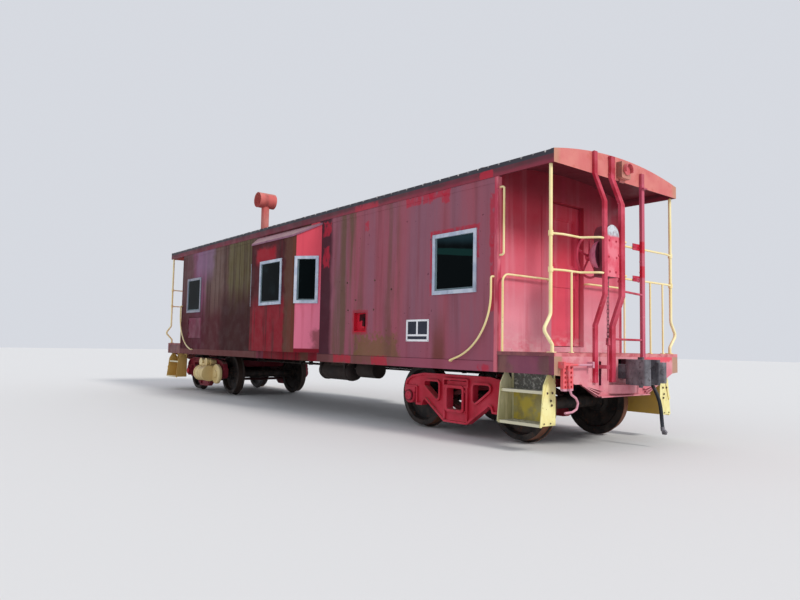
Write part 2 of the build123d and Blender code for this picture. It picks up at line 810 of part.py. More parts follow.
# end posts: two that jog outwards round the hand brake, one straight, and two rungs
jog = 125
post_top = rail + 3330
jog_heights = (3070, 2740, 1690, 1355)
post_foot = rail + 720
jogged_posts = ((-555, 60, 32), (-230, 76, 40))
straight_post = (412, 60, 36)
straight_post_foot = floor_top - 60
straight_post_top = rail + 3240
rungs = ((1208, 0), (1752, jog))
rung_diameter = 26
post_wall = 9
for name, end in ends:
    with BuildPart() as end_posts:
        for y, width, depth in jogged_posts:
            for half, face in ((width / 2, depth), (width / 2 - post_wall, depth - post_wall)):
                path = [(0, post_top), *[(x, rail + z) for x, z in zip((0, jog, jog, 0), jog_heights)], (0, post_foot)]
                back = 0 if half == width / 2 else -1
                inner = [(end * (half_frame + x + back), z) for x, z in path]
                outer_side = [(end * (half_frame + x + face), z) for x, z in reversed(path)]
                with BuildSketch(Plane.XZ.offset(-end * y)):
                    with BuildLine():
                        Polyline(*inner, *outer_side, close=True)
                    make_face()
                extrude(amount=half, both=True, mode=Mode.ADD if back == 0 else Mode.SUBTRACT)
        y, width, depth = straight_post
        with BuildSketch(Plane.XY.offset(straight_post_foot)):
            with Locations((end * (half_frame + depth / 2), end * y)):
                Rectangle(depth, width)
            with Locations((end * (half_frame + (depth - post_wall) / 2), end * y)):
                Rectangle(depth - post_wall, width - 2 * post_wall, mode=Mode.SUBTRACT)
        extrude(amount=straight_post_top - straight_post_foot)
        with BuildSketch(Plane.XY.offset(straight_post_top - 190)):
            with Locations((end * (half_frame + depth / 2 + 14), end * (y + 12))):
                Rectangle(depth + 28, width + 24)
            with Locations((end * (half_frame + depth / 2), end * y)):
                Rectangle(depth + 2 * seat_gap, width + 2 * seat_gap, mode=Mode.SUBTRACT)
        extrude(amount=12)
        for height, reach in rungs:
            start = (end * (half_frame + depth / 2), end * y, rail + height)
            finish = (end * (half_frame + reach + depth / 2), end * jogged_posts[1][0], rail + height)
            add(bar((start, finish), rung_diameter, 0))
    save(end_posts, f"{name}_end_posts")

# end railings: corner posts, bent rails to the end posts, and balusters down to the deck
rail_pipe = 38
thin_pipe = 25
baluster_diameter = 22
bend_radius = 50
collar_radius = 27
collar_height = 56
foot_thickness = 10
corner_x = half_frame - 70
corner_y = half_width - 28
rail_heights = (2320, 1930)
rail_x = half_frame - 24
with BuildPart() as end_railings:
    for _, end in ends:
        for side in (1, -1):
            corner = (
                (end * corner_x, side * corner_y, eave),
                (end * corner_x, side * corner_y, rail + 1450),
                (end * corner_x, side * (corner_y + 118), rail + 1285),
                (end * corner_x, side * (corner_y - 30), rail + 1130),
                (end * corner_x, side * (corner_y - 30), floor_top),
            )
            add(bar(corner, rail_pipe, [90, 60, 40]))
            post_y = end * jogged_posts[0][0] if side == -end else end * jogged_posts[1][0]
            post_half = jogged_posts[0][1] / 2 if side == -end else jogged_posts[1][1] / 2
            for height in rail_heights:
                z = rail + height
                run = (
                    (end * corner_x, side * corner_y, z),
                    (end * rail_x, side * (corner_y - 170), z),
                    (end * rail_x, post_y + side * (post_half + 190), z),
                    (end * (half_frame + jog + 16), post_y + side * (post_half + 60), z),
                    (end * (half_frame + jog + 16), post_y + side * post_half, z),
                )
                add(bar(run, thin_pipe, bend_radius))
                with BuildSketch(Plane.XY.offset(z - collar_height / 2)):
                    with Locations((end * corner_x, side * corner_y)):
                        Circle(collar_radius)
                extrude(amount=collar_height)
            baluster_ys = (930,) if side == -end else (660, 950)
            for y in baluster_ys:
                foot = (end * rail_x, side * y, floor_top)
                head = (end * rail_x, side * y, rail + rail_heights[1])
                add(bar((foot, head), baluster_diameter, 0))
            with BuildSketch(Plane.XY.offset(floor_top)):
                with Locations((end * (corner_x - 10), side * (corner_y - 30))):
                    RectangleRounded(84, 74, 12)
                with Locations(*[(end * (rail_x - 4), side * y) for y in baluster_ys]):
                    RectangleRounded(46, 46, 10)
            extrude(amount=foot_thickness)
save(end_railings, "end_railings")

# end wall handrails: a cranked rail each side of the door and an upright grab near each corner
rail_stand_off = 60
with BuildPart() as end_wall_handrails:
    for _, end in ends:
        x = end * (half_body + rail_stand_off)
        wall_x = end * half_body
        for side in (1, -1):
            rail_end = 350 if side == -end else 400
            cranked = (
                (x, side * (half_width - 22), floor_top),
                (x, side * (half_width - 22), rail + 1932),
                (x, side * rail_end, rail + 1932),
                (wall_x, side * rail_end, rail + 1932),
            )
            add(bar(cranked, thin_pipe, [90, 25]))
            grab = (
                (wall_x, side * (half_width - 35), rail + 2950),
                (x, side * (half_width - 35), rail + 2950),
                (x, side * (half_width - 35), rail + 2155),
                (wall_x, side * (half_width - 35), rail + 2155),
            )
            add(bar(grab, thin_pipe, 25))
save(end_wall_handrails, "end_wall_handrails")

# side grab irons: a long curved bar at each corner of the body, from shoulder height down to the sill
grab_stand_off = 50
grab_x = half_body - 55
with BuildPart() as side_grab_irons:
    for _, end in ends:
        for _, side in sides:
            wall_y = side * (half_width + band_thickness)
            y = side * (half_width + grab_stand_off)
            iron = (
                (end * grab_x, wall_y, rail + 1905),
                (end * grab_x, y, rail + 1905),
                (end * grab_x, y, rail + 1141),
                (end * (grab_x - 688), y, rail + 917),
                (end * (grab_x - 688), wall_y, rail + 917),
            )
            add(bar(iron, thin_pipe, [25, 800, 25]))
save(side_grab_irons, "side_grab_irons")

# hand brake: gear housing between the front end posts, with a dished bell, and the spoked wheel inboard of it
brake_y = (jogged_posts[0][0] + jogged_posts[1][0]) / 2
brake_height = rail + 2150
brake_wheel_radius = 250
brake_wheel_x = half_frame - 170
housing_x = (half_frame - 20, half_frame + 138)
housing_width = jogged_posts[1][0] - jogged_posts[0][0] - (jogged_posts[0][1] + jogged_posts[1][1]) / 2
housing_low = rail + 1900
housing_top = rail + 2490
housing_centre = (jogged_posts[0][0] + jogged_posts[0][1] / 2 + jogged_posts[1][0] - jogged_posts[1][1] / 2) / 2
shaft_diameter = 36
chain_x = half_frame + 100
chain_y = housing_centre - 40
chain_mouth = 44
chain_wire = 9
link_bend = 11
link_straight = 30
link_half = link_straight / 2 + link_bend
with BuildPart() as brake_housing:
    with BuildSketch(Plane.YZ.offset(housing_x[0])):
        crown = housing_top - housing_width / 2
        with Locations((housing_centre, (housing_low + crown) / 2)):
            Rectangle(housing_width, crown - housing_low)
        with Locations((housing_centre, crown)):
            Circle(housing_width / 2)
    extrude(amount=housing_x[1] - housing_x[0])
    with BuildSketch(Plane.XY.offset(housing_low)):
        with Locations((chain_x, chain_y)):
            Rectangle(chain_mouth, chain_mouth)
    extrude(amount=chain_mouth, mode=Mode.SUBTRACT)
    with BuildSketch(Plane.YZ.offset(chain_x - chain_mouth / 2)):
        with Locations((chain_y, housing_low + link_half - chain_wire - seat_gap)):
            Circle(chain_wire / 2 - seat_gap)
    extrude(amount=chain_mouth)
    with BuildSketch(Plane.XZ.offset(-housing_centre)):
        with BuildLine():
            bell_back = housing_x[0]
            Polyline(
                (bell_back + 1, brake_height),
                (brake_wheel_x + 40, brake_height),
                (brake_wheel_x + 40, brake_height + 45),
                (bell_back - 60, brake_height + 110),
                (bell_back + 1, brake_height + 118),
                close=True,
            )
        make_face()
    revolve(axis=Axis((0, housing_centre, brake_height), (1, 0, 0)))
save(brake_housing, "brake_housing")

rim_radius = 14
spoke_count = 5
with BuildPart() as brake_wheel:
    with BuildSketch(Plane.XZ.offset(-housing_centre)):
        with Locations((brake_wheel_x, brake_height + brake_wheel_radius - rim_radius)):
            Circle(rim_radius)
    revolve(axis=Axis((0, housing_centre, brake_height), (1, 0, 0)))
    with BuildSketch(Plane.YZ.offset(brake_wheel_x - 30)):
        with Locations((housing_centre, brake_height)):
            Circle(42)
    extrude(amount=70 - seat_gap)
    for turn in range(spoke_count):
        angle = math.radians(90 + 360 * turn / spoke_count)
        direction = (0, math.cos(angle), math.sin(angle))
        with BuildSketch(Plane(origin=(brake_wheel_x, housing_centre, brake_height), z_dir=direction)):
            Ellipse(15, 8)
        extrude(amount=brake_wheel_radius - rim_radius)
save(brake_wheel, "brake_wheel")

# brake chain: welded links, each a quarter turn from the next, from the housing to a clevis on the pull rod,
# which goes down through the end sill
pull_rod_foot = rail + 745
pull_rod_top = rail + 1150
pull_rod_diameter = 20
link_pitch = link_straight + 2 * link_bend - chain_wire - seat_gap
chain_top = housing_low
link_count = int((chain_top - pull_rod_top - link_half) / link_pitch) + 1
clevis_width = 36
clevis_thickness = 8


def chain_link(height, turned):
    """One link: a round wire along an oval, lying across the car or, when turned, along it."""
    across = (1, 0, 0) if turned else (0, 1, 0)
    facing = (0, -1, 0) if turned else (1, 0, 0)
    with BuildPart() as link:
        with BuildLine(Plane(origin=(chain_x, chain_y, height), x_dir=across, z_dir=facing)) as route:
            Line((link_bend, -link_straight / 2), (link_bend, link_straight / 2))
            ThreePointArc((link_bend, link_straight / 2), (0, link_half), (-link_bend, link_straight / 2))
            Line((-link_bend, link_straight / 2), (-link_bend, -link_straight / 2))
            ThreePointArc((-link_bend, -link_straight / 2), (0, -link_half), (link_bend, -link_straight / 2))
        with BuildSketch(Plane(origin=route.line @ 0, z_dir=route.line % 0)):
            Circle(chain_wire / 2)
        sweep()
    return link.part


with BuildPart() as brake_chain:
    for number in range(link_count):
        add(chain_link(chain_top - number * link_pitch, number % 2 == 1))
save(brake_chain, "brake_chain")

# brake pull rod: a clevis with a pin through the lowest link, and the rod down to a guide on the end sill
last_link = chain_top - (link_count - 1) * link_pitch
pin_height = last_link - link_half + chain_wire + seat_gap
last_turned = link_count % 2 == 0
with BuildPart() as brake_pull_rod:
    pin_along = (1, 0, 0) if not last_turned else (0, 1, 0)
    with BuildSketch(Plane(origin=(chain_x, chain_y, pin_height), z_dir=pin_along)):
        Circle(chain_wire / 2 - seat_gap)
    extrude(amount=clevis_width / 2 + 6, both=True)
    for hand in (1, -1):
        cheek = (
            (chain_x + hand * (clevis_width - clevis_thickness) / 2, chain_y)
            if not last_turned
            else (chain_x, chain_y + hand * (clevis_width - clevis_thickness) / 2)
        )
        size = (clevis_thickness, 30) if not last_turned else (30, clevis_thickness)
        with BuildSketch(Plane.XY.offset(pin_height - 50)):
            with Locations(cheek):
                Rectangle(*size)
        extrude(amount=65)
    with BuildSketch(Plane.XY.offset(pin_height - 62)):
        with Locations((chain_x, chain_y)):
            Rectangle(clevis_width, clevis_width)
    extrude(amount=12)
    add(bar(((chain_x, chain_y, pin_height - 61), (chain_x, chain_y, pull_rod_foot)), pull_rod_diameter, 0))
    with BuildSketch(end_face(1, half_frame + seat_gap)):
        with Locations((chain_y, pull_rod_foot + 150)):
            Rectangle(60, 40)
    extrude(amount=chain_x - half_frame - seat_gap)

# marker lamps: a box on a foot plate at the middle of each fascia, with a hood over its round lens
lamp_size = (190, 200)
lamp_depth = 75
lamp_height = rail + 3200
lamp_shift = -10
lens_radius = 65
hood_radius = 76
with BuildPart() as marker_lamps:
    for _, end in ends:
        with BuildSketch(end_face(end, half_frame)):
            with Locations((lamp_shift, lamp_height)):
                RectangleRounded(*lamp_size, 18)
        extrude(amount=lamp_depth)
        with BuildSketch(end_face(end, half_frame + lamp_depth)):
            with Locations((lamp_shift, lamp_height)):
                Circle(hood_radius)
                Circle(lens_radius, mode=Mode.SUBTRACT)
                with BuildLine():
                    Polyline(
                        (lamp_shift - hood_radius, lamp_height - 30),
                        (lamp_shift + hood_radius, lamp_height - 30),
                        (lamp_shift + hood_radius, lamp_height - hood_radius),
                        (lamp_shift - hood_radius, lamp_height - hood_radius),
                        close=True,
                    )
                make_face(mode=Mode.SUBTRACT)
        extrude(amount=50)
        with BuildSketch(end_face(end, half_frame + lamp_depth)):
            with Locations((lamp_shift, lamp_height)):
                Circle(lens_radius - 4)
        extrude(amount=14)
        with BuildSketch(end_face(end, half_frame + 14)):
            with Locations((lamp_shift, lamp_height - lamp_size[1] / 2 - 16)):
                Rectangle(90, 40)
        extrude(amount=-14)
save(marker_lamps, "marker_lamps")

# couplers: shank, and a head with its guard arm and rounded corners; the knuckle is a piece of its own
shank_start = half_frame - 650
head_start = half_frame + coupler_face - 370
head_height = 285
knuckle_height = 230
head_outline = (
    (-92, -20, 20),
    (92, -20, 20),
    (168, 100, 30),
    (168, 190, 8),
    (72, 190, 8),
    (20, 150, 25),
    (-60, 150, 25),
    (-100, 250, 30),
    (-162, 338, 14),
    (-222, 300, 26),
    (-178, 150, 40),
    (-145, 55, 40),
)
horn_size = (215, 330)
with BuildPart() as couplers:
    for _, end in ends:
        with BuildSketch(end_face(end, shank_start)):
            with Locations((0, coupler_height)):
                RectangleRounded(*shank_size, 14)
        extrude(amount=head_start - shank_start)
        with BuildSketch(Plane.XY.offset(coupler_height - head_height / 2)):
            with BuildLine():
                FilletPolyline(
                    *[(end * (head_start + x), end * y) for y, x, _ in head_outline],
                    radius=[radius for _, _, radius in head_outline],
                    close=True,
                )
            make_face()
        extrude(amount=head_height)
        for height in (coupler_height - head_height / 2, coupler_height + head_height / 2):
            up = 1 if height > coupler_height else -1
            with BuildSketch(Plane.XY.offset(height)):
                with Locations((end * (head_start + 235), end * 118)):
                    SlotOverall(90, 62)
            extrude(amount=-up * (head_height - knuckle_height) / 2 + up * seat_gap)
            with BuildSketch(Plane.XY.offset(height)):
                with Locations((end * (head_start + 170), end * 118)):
                    Rectangle(110, 62)
            extrude(amount=-up * (head_height - knuckle_height) / 2 + up * seat_gap)
        with BuildSketch(Plane.XY.offset(coupler_height + head_height / 2)):
            with Locations((end * (head_start + 105), end * 20)):
                SlotOverall(74, 34)
        extrude(amount=26)
        with BuildSketch(Plane.XY.offset(coupler_height - head_height / 2)):
            with Locations((end * (head_start + 105), end * 20)):
                Circle(24)
        extrude(amount=-34)
save(couplers, "couplers")

knuckle_outline = (
    (74, 191, 6),
    (167, 191, 6),
    (165, 290, 40),
    (120, 362, 40),
    (36, 370, 22),
    (4, 322, 22),
    (34, 272, 16),
    (74, 262, 14),
)
with BuildPart() as coupler_knuckles:
    for _, end in ends:
        with BuildSketch(Plane.XY.offset(coupler_height - knuckle_height / 2)):
            with BuildLine():
                FilletPolyline(
                    *[(end * (head_start + x), end * y) for y, x, _ in knuckle_outline],
                    radius=[radius for _, _, radius in knuckle_outline],
                    close=True,
                )
            make_face()
        extrude(amount=knuckle_height)
save(coupler_knuckles, "coupler_knuckles")

# uncoupling levers: a bent handle that hangs below the end sill, a rod along it to the coupler, and the
# perforated bracket behind the handle
lever_x = half_frame + 58
lever_diameter = 24
lever_rod = rail + 918
lever_handle = (
    (-660, 918),
    (-1098, 918),
    (-1075, 663),
    (-1045, 606),
    (-967, 568),
    (-930, 515),
    (-956, 450),
    (-1032, 424),
    (-1154, 418),
)
lever_bends = (34, 80, 38, 38, 26, 34, 38)
bracket_y = -1068
bracket_span = (643, 940)
bracket_width = 172
bracket_reach = 36
bracket_holes = (3, 5)
with BuildPart() as uncoupling_levers:
    for _, end in ends:
        route = [(end * lever_x, end * y, rail + z) for y, z in lever_handle]
        add(bar(route, lever_diameter, lever_bends))
        for y in (-672, -1180):
            with BuildSketch(end_face(end, half_frame + seat_gap)):
                with Locations((y, lever_rod)):
                    RectangleRounded(26, 70, 8)
            extrude(amount=lever_x + lever_diameter / 2 + 8 - half_frame)
        add(bar(((end * lever_x, -end * 1190, lever_rod), (end * lever_x, -end * 1090, lever_rod)), lever_diameter, 0))
        with BuildSketch(end_face(end, half_frame + seat_gap)):
            with Locations((bracket_y, rail + (bracket_span[0] + bracket_span[1]) / 2)):
                RectangleRounded(bracket_width, bracket_span[1] - bracket_span[0], 12)
        extrude(amount=bracket_reach)
        with BuildSketch(end_face(end, half_frame + seat_gap)):
            with Locations((bracket_y, rail + (bracket_span[0] + bracket_span[1]) / 2 - 6)):
                with GridLocations(50, 50, *bracket_holes):
                    Circle(15)
        extrude(amount=bracket_reach, mode=Mode.SUBTRACT)
save(uncoupling_levers, "uncoupling_levers")

# train line: one brake pipe under the deck from end to end, clamped to the centre sill, with an angle cock
# at each end held by a bracket on the end sill
pipe_z = rail + 715
pipe_y = 250
cock_x = half_frame + 175
cock_drop = 52.2
cock_run = 30
hose_start = cock_x + cock_run
hose_top = cock_z - cock_drop
pipe_clamps = (800, 1900, 2900, 5150)
half_route = (
    (400, pipe_y, pipe_z),
    (half_frame - 500, pipe_y, pipe_z),
    (half_frame - 250, hose_y, cock_z),
    (cock_x, hose_y, cock_z),
    (hose_start, hose_y, hose_top),
)
with BuildPart() as brake_pipe:
    rear_route = [(-x, -y, z) for x, y, z in reversed(half_route)]
    add(bar((*rear_route, *half_route), pipe_diameter, [55, 120, 120, 150, 150, 120, 120, 55]))
    for _, end in ends:
        with BuildSketch(end_face(end, half_frame + seat_gap)):
            with Locations((hose_y, cock_z + 50)):
                Rectangle(90, 96)
        extrude(amount=20)
        for x in pipe_clamps:
            clamp_low = pipe_z - pipe_diameter / 2 - 8
            with BuildSketch(Plane.YZ.offset(end * x)):
                with Locations((end * (pipe_y - 12), (clamp_low + sill_low - seat_gap) / 2)):
                    Rectangle(78, sill_low - seat_gap - clamp_low)
            extrude(amount=15, both=True)
save(brake_pipe, "brake_pipe")

# air hoses: each hangs from its angle cock, and carries a glad hand
hose_diameter = 42
hose_route = (
    (0, 0, 0),
    (30, 0, -52.2),
    (58, 2, -122),
    (76, 4, -200),
    (86, 5, -282),
    (90, 6, -362),
    (98, 6, -435),
)
hose_radii = []
for before, corner, after in zip(hose_route, hose_route[1:], hose_route[2:]):
    run_in = Vector(corner) - Vector(before)
    run_out = Vector(after) - Vector(corner)
    turn = run_in.get_angle(run_out)
    hose_radii.append(0.45 * min(run_in.length, run_out.length) / math.tan(math.radians(turn / 2)))
print("hose radii", [round(radius) for radius in hose_radii])
for name, end in ends:
    points = [(end * (hose_start + x), end * (hose_y + y), hose_top + z) for x, y, z in hose_route]
    with BuildPart() as air_hose:
        with BuildLine() as route:
            FilletPolyline(*points, radius=hose_radii)
        with BuildSketch(Plane(origin=points[0], z_dir=route.line % 0)):
            Circle(hose_diameter / 2)
        sweep()
    length = sum(edge.length for edge in route.edges())
    print(name, "hose", round(air_hose.part.volume), round(length * math.pi * hose_diameter**2 / 4))
    save(air_hose, f"{name}_air_hose")
    tip = route.line @ 1
    aim = route.line % 1
    with BuildPart() as glad_hand:
        with BuildSketch(Plane(origin=tip, z_dir=aim)):
            Circle(24)
        extrude(amount=45)
        with BuildSketch(Plane.XZ.offset(-(tip.Y - end * 18))):
            with BuildLine():
                Polyline(
                    (tip.X - end * 8, tip.Z - 30),
                    (tip.X + end * 30, tip.Z - 30),
                    (tip.X + end * 52, tip.Z - 55),
                    (tip.X + end * 44, tip.Z - 85),
                    (tip.X + end * 5, tip.Z - 85),
                    close=True,
                )
            make_face()
        extrude(amount=-end * 36)
    save(glad_hand, f"{name}_glad_hand")

# smoke stack: a round pipe through the roof with a transverse cap open at both ends
cap_radius = 157
cap_length = 370
cap_height = rail + 4052
stack_foot = roof_underside(stack_y) - 100
with BuildPart() as smoke_stack:
    with BuildSketch(Plane.XZ.offset(-stack_y - cap_length / 2)):
        with Locations((stack_x, cap_height)):
            Circle(cap_radius)
            Circle(cap_radius - 6, mode=Mode.SUBTRACT)
    extrude(amount=cap_length)
    with BuildSketch(Plane.XY.offset(stack_foot)):
        with Locations((stack_x, stack_y)):
            Circle(stack_radius)
    extrude(amount=cap_height - cap_radius + 40 - stack_foot)
    with BuildSketch(Plane.XY.offset(stack_foot)):
        with Locations((stack_x, stack_y)):
            Circle(stack_radius - stack_wall)
    extrude(amount=cap_height - stack_foot, mode=Mode.SUBTRACT)
save(smoke_stack, "smoke_stack")

# air reservoir, on two hangers, and the brake cylinder
tank_radius = 150
tank_height = rail + 665
tank_y = -800
tank_x = (600, 1520)
tank_strap = 50
tank_band = 8
with BuildPart() as air_reservoir:
    with BuildSketch(Plane.YZ.offset(tank_x[0])):
        with Locations((tank_y, tank_height)):
            Circle(tank_radius)
    extrude(amount=tank_x[1] - tank_x[0])
    fillet(air_reservoir.part.edges().filter_by(GeomType.CIRCLE), 60)
    for x in cross_bearers[2:4]:
        with BuildSketch(Plane.YZ.offset(x - tank_strap / 2)):
            outer_y = tank_y - tank_radius - tank_band
            inner_y = tank_y + tank_radius + tank_band
            with BuildLine():
                Polyline(
                    (outer_y, tank_height),
                    (outer_y, bearer_underside(outer_y) - seat_gap),
                    (inner_y, bearer_underside(inner_y) - seat_gap),
                    (inner_y, tank_height),
                    close=True,
                )
            make_face()
            with Locations((tank_y, tank_height)):
                Circle(tank_radius + tank_band)
        extrude(amount=tank_strap)
save(air_reservoir, "air_reservoir")

cylinder_radius = 130
cylinder_x = (1690, 2120)
with BuildPart() as brake_cylinder:
    with BuildSketch(Plane.YZ.offset(cylinder_x[0])):
        with Locations((tank_y, rail + 712)):
            Circle(cylinder_radius)
    extrude(amount=cylinder_x[1] - cylinder_x[0])
    with BuildSketch(Plane.YZ.offset(1900 - 40)):
        with Locations((tank_y, (rail + 712 + under_deck - 0) / 2)):
            Rectangle(120, under_deck - rail - 712)
    extrude(amount=80)
save(brake_cylinder, "brake_cylinder")

# brake rods: a lever on the cylinder's push rod, a rod from it towards each truck beside the centre sill, and
# straps from the sill that carry them
rod_y = -(centre_sill_width / 2 + centre_sill_lip + 100)
rod_height = rail + 712
rod_diameter = 27
lever_at = cylinder_x[0] - 110
rod_ends = (-pivot + 1150, pivot - 1150)
rod_straps = (-2500, -1000, 900, 2700)
lever_size = (70, 16)
with BuildPart() as brake_rods:
    add(bar(((lever_at, tank_y, rod_height), (cylinder_x[0] - seat_gap, tank_y, rod_height)), 34, 0))
    with BuildSketch(Plane.XY.offset(rod_height - lever_size[1] / 2)):
        with Locations((lever_at, (tank_y + rod_y) / 2)):
            SlotOverall(rod_y - tank_y + 140, lever_size[0], rotation=90)
    extrude(amount=lever_size[1])
    for x in rod_ends:
        add(bar(((lever_at, rod_y, rod_height), (x, rod_y, rod_height)), rod_diameter, 0))
        toward = 1 if x > 0 else -1
        with BuildSketch(Plane.XY.offset(rod_height - 24)):
            with Locations((x - toward * 30, rod_y)):
                SlotOverall(120, 44)
        extrude(amount=48)
    for x in rod_straps:
        strap_top = sill_low - seat_gap
        strap_low = rod_height - rod_diameter / 2 - 8
        strap_inner = -(centre_sill_width / 2 + 6)
        with BuildSketch(Plane.YZ.offset(x)):
            with BuildLine():
                Polyline(
                    (strap_inner, strap_top),
                    (rod_y + 24, strap_top),
                    (rod_y + 24, strap_low + 8),
                    (rod_y - 26, strap_low + 8),
                    (rod_y - 26, strap_top - 4),
                    (rod_y - 34, strap_top - 4),
                    (rod_y - 34, strap_low),
                    (rod_y + 32, strap_low),
                    (rod_y + 32, strap_top - 8),
                    (strap_inner, strap_top - 8),
                    close=True,
                )
            make_face()
        extrude(amount=20, both=True)
    add(brake_pull_rod.part)
save(brake_rods, "brake_rods")

# trucks: cast side frames with roller bearings in their jaws
frame_inner_y = 930
frame_depth_y = 100
bearing_radius = 103
jaw_half = 112
jaw_roof = 530
jaw_leg = 25
frame_end = half_base + jaw_half + jaw_leg
end_chamfer = 24
frame_outline = (
    (600, 733, 60),
    (850, 692, 80),
    (frame_end - 47, 630, 40),
    (frame_end, 530, 40),
    (frame_end, 385, 6),
    (half_base + jaw_half, 385, 3),
    (half_base + jaw_half, jaw_roof, 4),
    (half_base - jaw_half, jaw_roof, 4),
    (half_base - jaw_half, 300, 8),
    (635, 300, 14),
    (600, 395, 30),
    (207, 125, 50),
)
side_window = ((312, 627), (585, 627), (592, 572), (312, 374))
centre_window = ((-135, 565), (135, 565), (135, 295), (-135, 295))
bolster_slot = ((-205, 662), (205, 662), (205, 600), (-205, 600))
window_radii = (35, 30)
journal_radius = 60
adapter_bottom = axle_height + bearing_radius / 2 - 0.5
frame_rim = 26
frame_pocket = 30
ring_width = 34
ring_rise = 16
column_width = 34
column_span = (165, 600)


def frame_windows(truck_x, grow):
    """The openings of a side frame, each larger all round by a rim."""
    for hand in (1, -1):
        with BuildSketch(Plane.XY) as hole:
            with BuildLine():
                FilletPolyline(*[(truck_x + hand * x, rail + z) for x, z in side_window], radius=window_radii[0], close=True)
            make_face()
            if grow:
                offset(amount=grow)
        yield hole.sketch
    with BuildSketch(Plane.XY) as hole:
        with BuildLine():
            FilletPolyline(*[(truck_x + x, rail + z) for x, z in centre_window], radius=window_radii[1], close=True)
        make_face()
        if grow:
            offset(amount=grow)
    yield hole.sketch
    with BuildSketch(Plane.XY) as hole:
        with BuildLine():
            Polyline(*[(truck_x + x, rail + z) for x, z in bolster_slot], close=True)
        make_face()
        if grow:
            offset(amount=grow)
    yield hole.sketch


for name, end in ends:
    truck_x = end * pivot
    half = [(truck_x + x, rail + z, radius) for x, z, radius in frame_outline]
    other = [(truck_x - x, rail + z, radius) for x, z, radius in reversed(frame_outline)]
    corners = [(x, z) for x, z, _ in half + other]
    radii = [radius for _, _, radius in half + other]
    with BuildPart() as side_frames:
        for _, side in sides:
            outer_plane = Plane.XZ.offset(-side * (frame_inner_y + frame_depth_y))
            with BuildSketch(Plane.XZ.offset(-side * frame_inner_y)):
                with BuildLine():
                    FilletPolyline(*corners, radius=radii, close=True)
                make_face()
                for hole in frame_windows(truck_x, 0):
                    add(hole, mode=Mode.SUBTRACT)
            extrude(amount=-side * frame_depth_y)
            with BuildSketch(outer_plane):
                with BuildLine():
                    FilletPolyline(*corners, radius=radii, close=True)
                make_face()
                offset(amount=-frame_rim, mode=Mode.REPLACE)
                for hole in frame_windows(truck_x, frame_rim):
                    add(hole, mode=Mode.SUBTRACT)
            extrude(amount=side * frame_pocket, mode=Mode.SUBTRACT)
            with BuildSketch(outer_plane):
                with Locations((truck_x, rail + (centre_window[0][1] + centre_window[2][1]) / 2)):
                    ring_size = (centre_window[1][0] * 2, centre_window[0][1] - centre_window[2][1])
                    RectangleRounded(ring_size[0] + 2 * ring_width, ring_size[1] + 2 * ring_width, window_radii[1] + 20)
                    RectangleRounded(*ring_size, window_radii[1], mode=Mode.SUBTRACT)
            extrude(amount=-side * ring_rise)
            for hand in (1, -1):
                column_x = truck_x + hand * (centre_window[1][0] + ring_width + column_width)
                with BuildSketch(outer_plane):
                    with Locations((column_x, rail + (column_span[0] + column_span[1]) / 2)):
                        Rectangle(column_width, column_span[1] - column_span[0])
                extrude(amount=side * frame_pocket)
                corner_x = truck_x + hand * (frame_end + 1)
                outer_y = side * (frame_inner_y + frame_depth_y + 1)
                with BuildSketch(Plane.XY.offset(rail)):
                    with BuildLine():
                        Polyline(
                            (corner_x, outer_y),
                            (corner_x - hand * (end_chamfer + 1), outer_y),
                            (corner_x, outer_y - side * (end_chamfer + 1)),
                            close=True,
                        )
                    make_face()
                extrude(amount=wheel_diameter, mode=Mode.SUBTRACT)
    save(side_frames, f"{name}_truck_side_frames")
    with BuildPart() as bearings:
        for _, side in sides:
            for hand in (1, -1):
                with BuildSketch(Plane.XZ.offset(-side * (frame_inner_y - 25))):
                    with Locations((truck_x + hand * half_base, axle_height)):
                        Circle(bearing_radius)
                    with Locations((truck_x + hand * half_base, (rail + jaw_roof + adapter_bottom) / 2)):
                        Rectangle(2 * jaw_half - 8, rail + jaw_roof - adapter_bottom)
                    with Locations((truck_x + hand * half_base, axle_height)):
                        Circle(journal_radius + journal_clearance, mode=Mode.SUBTRACT)
                extrude(amount=-side * (frame_depth_y + 40))
    save(bearings, f"{name}_truck_bearings")

# truck bolsters: a beam across each truck with its centre bowl, ends in the side frames' slots
bowl_top = rail + 700 - seat_gap
bolster_half = 185
bowl_depth = 24
bowl_clearance = 6
for name, end in ends:
    truck_x = end * pivot
    with BuildPart() as bolster:
        with BuildSketch(Plane.YZ.offset(truck_x)):
            with BuildLine():
                Polyline(
                    (-1000, rail + 652),
                    (-1000, rail + 600),
                    (-920, rail + 600),
                    (-880, rail + 540),
                    (880, rail + 540),
                    (920, rail + 600),
                    (1000, rail + 600),
                    (1000, rail + 652),
                    (450, rail + 676),
                    (-450, rail + 676),
                    close=True,
                )
            make_face()
        extrude(amount=bolster_half, both=True)
        with BuildSketch(Plane.XY.offset(rail + 660)):
            with Locations((truck_x, 0)):
                Circle(centre_plate_diameter / 2 + 30)
        extrude(amount=rail + 724 - rail - 660)
        with BuildSketch(Plane.XY.offset(bowl_top)):
            with Locations((truck_x, 0)):
                Circle(centre_plate_diameter / 2 + bowl_clearance)
        extrude(amount=60, mode=Mode.SUBTRACT)
        with BuildSketch(Plane.XY.offset(rail + 560)):
            with Locations((truck_x, 0)):
                Circle(king_pin_diameter / 2 + 3)
        extrude(amount=200, mode=Mode.SUBTRACT)
    save(bolster, f"{name}_truck_bolster")

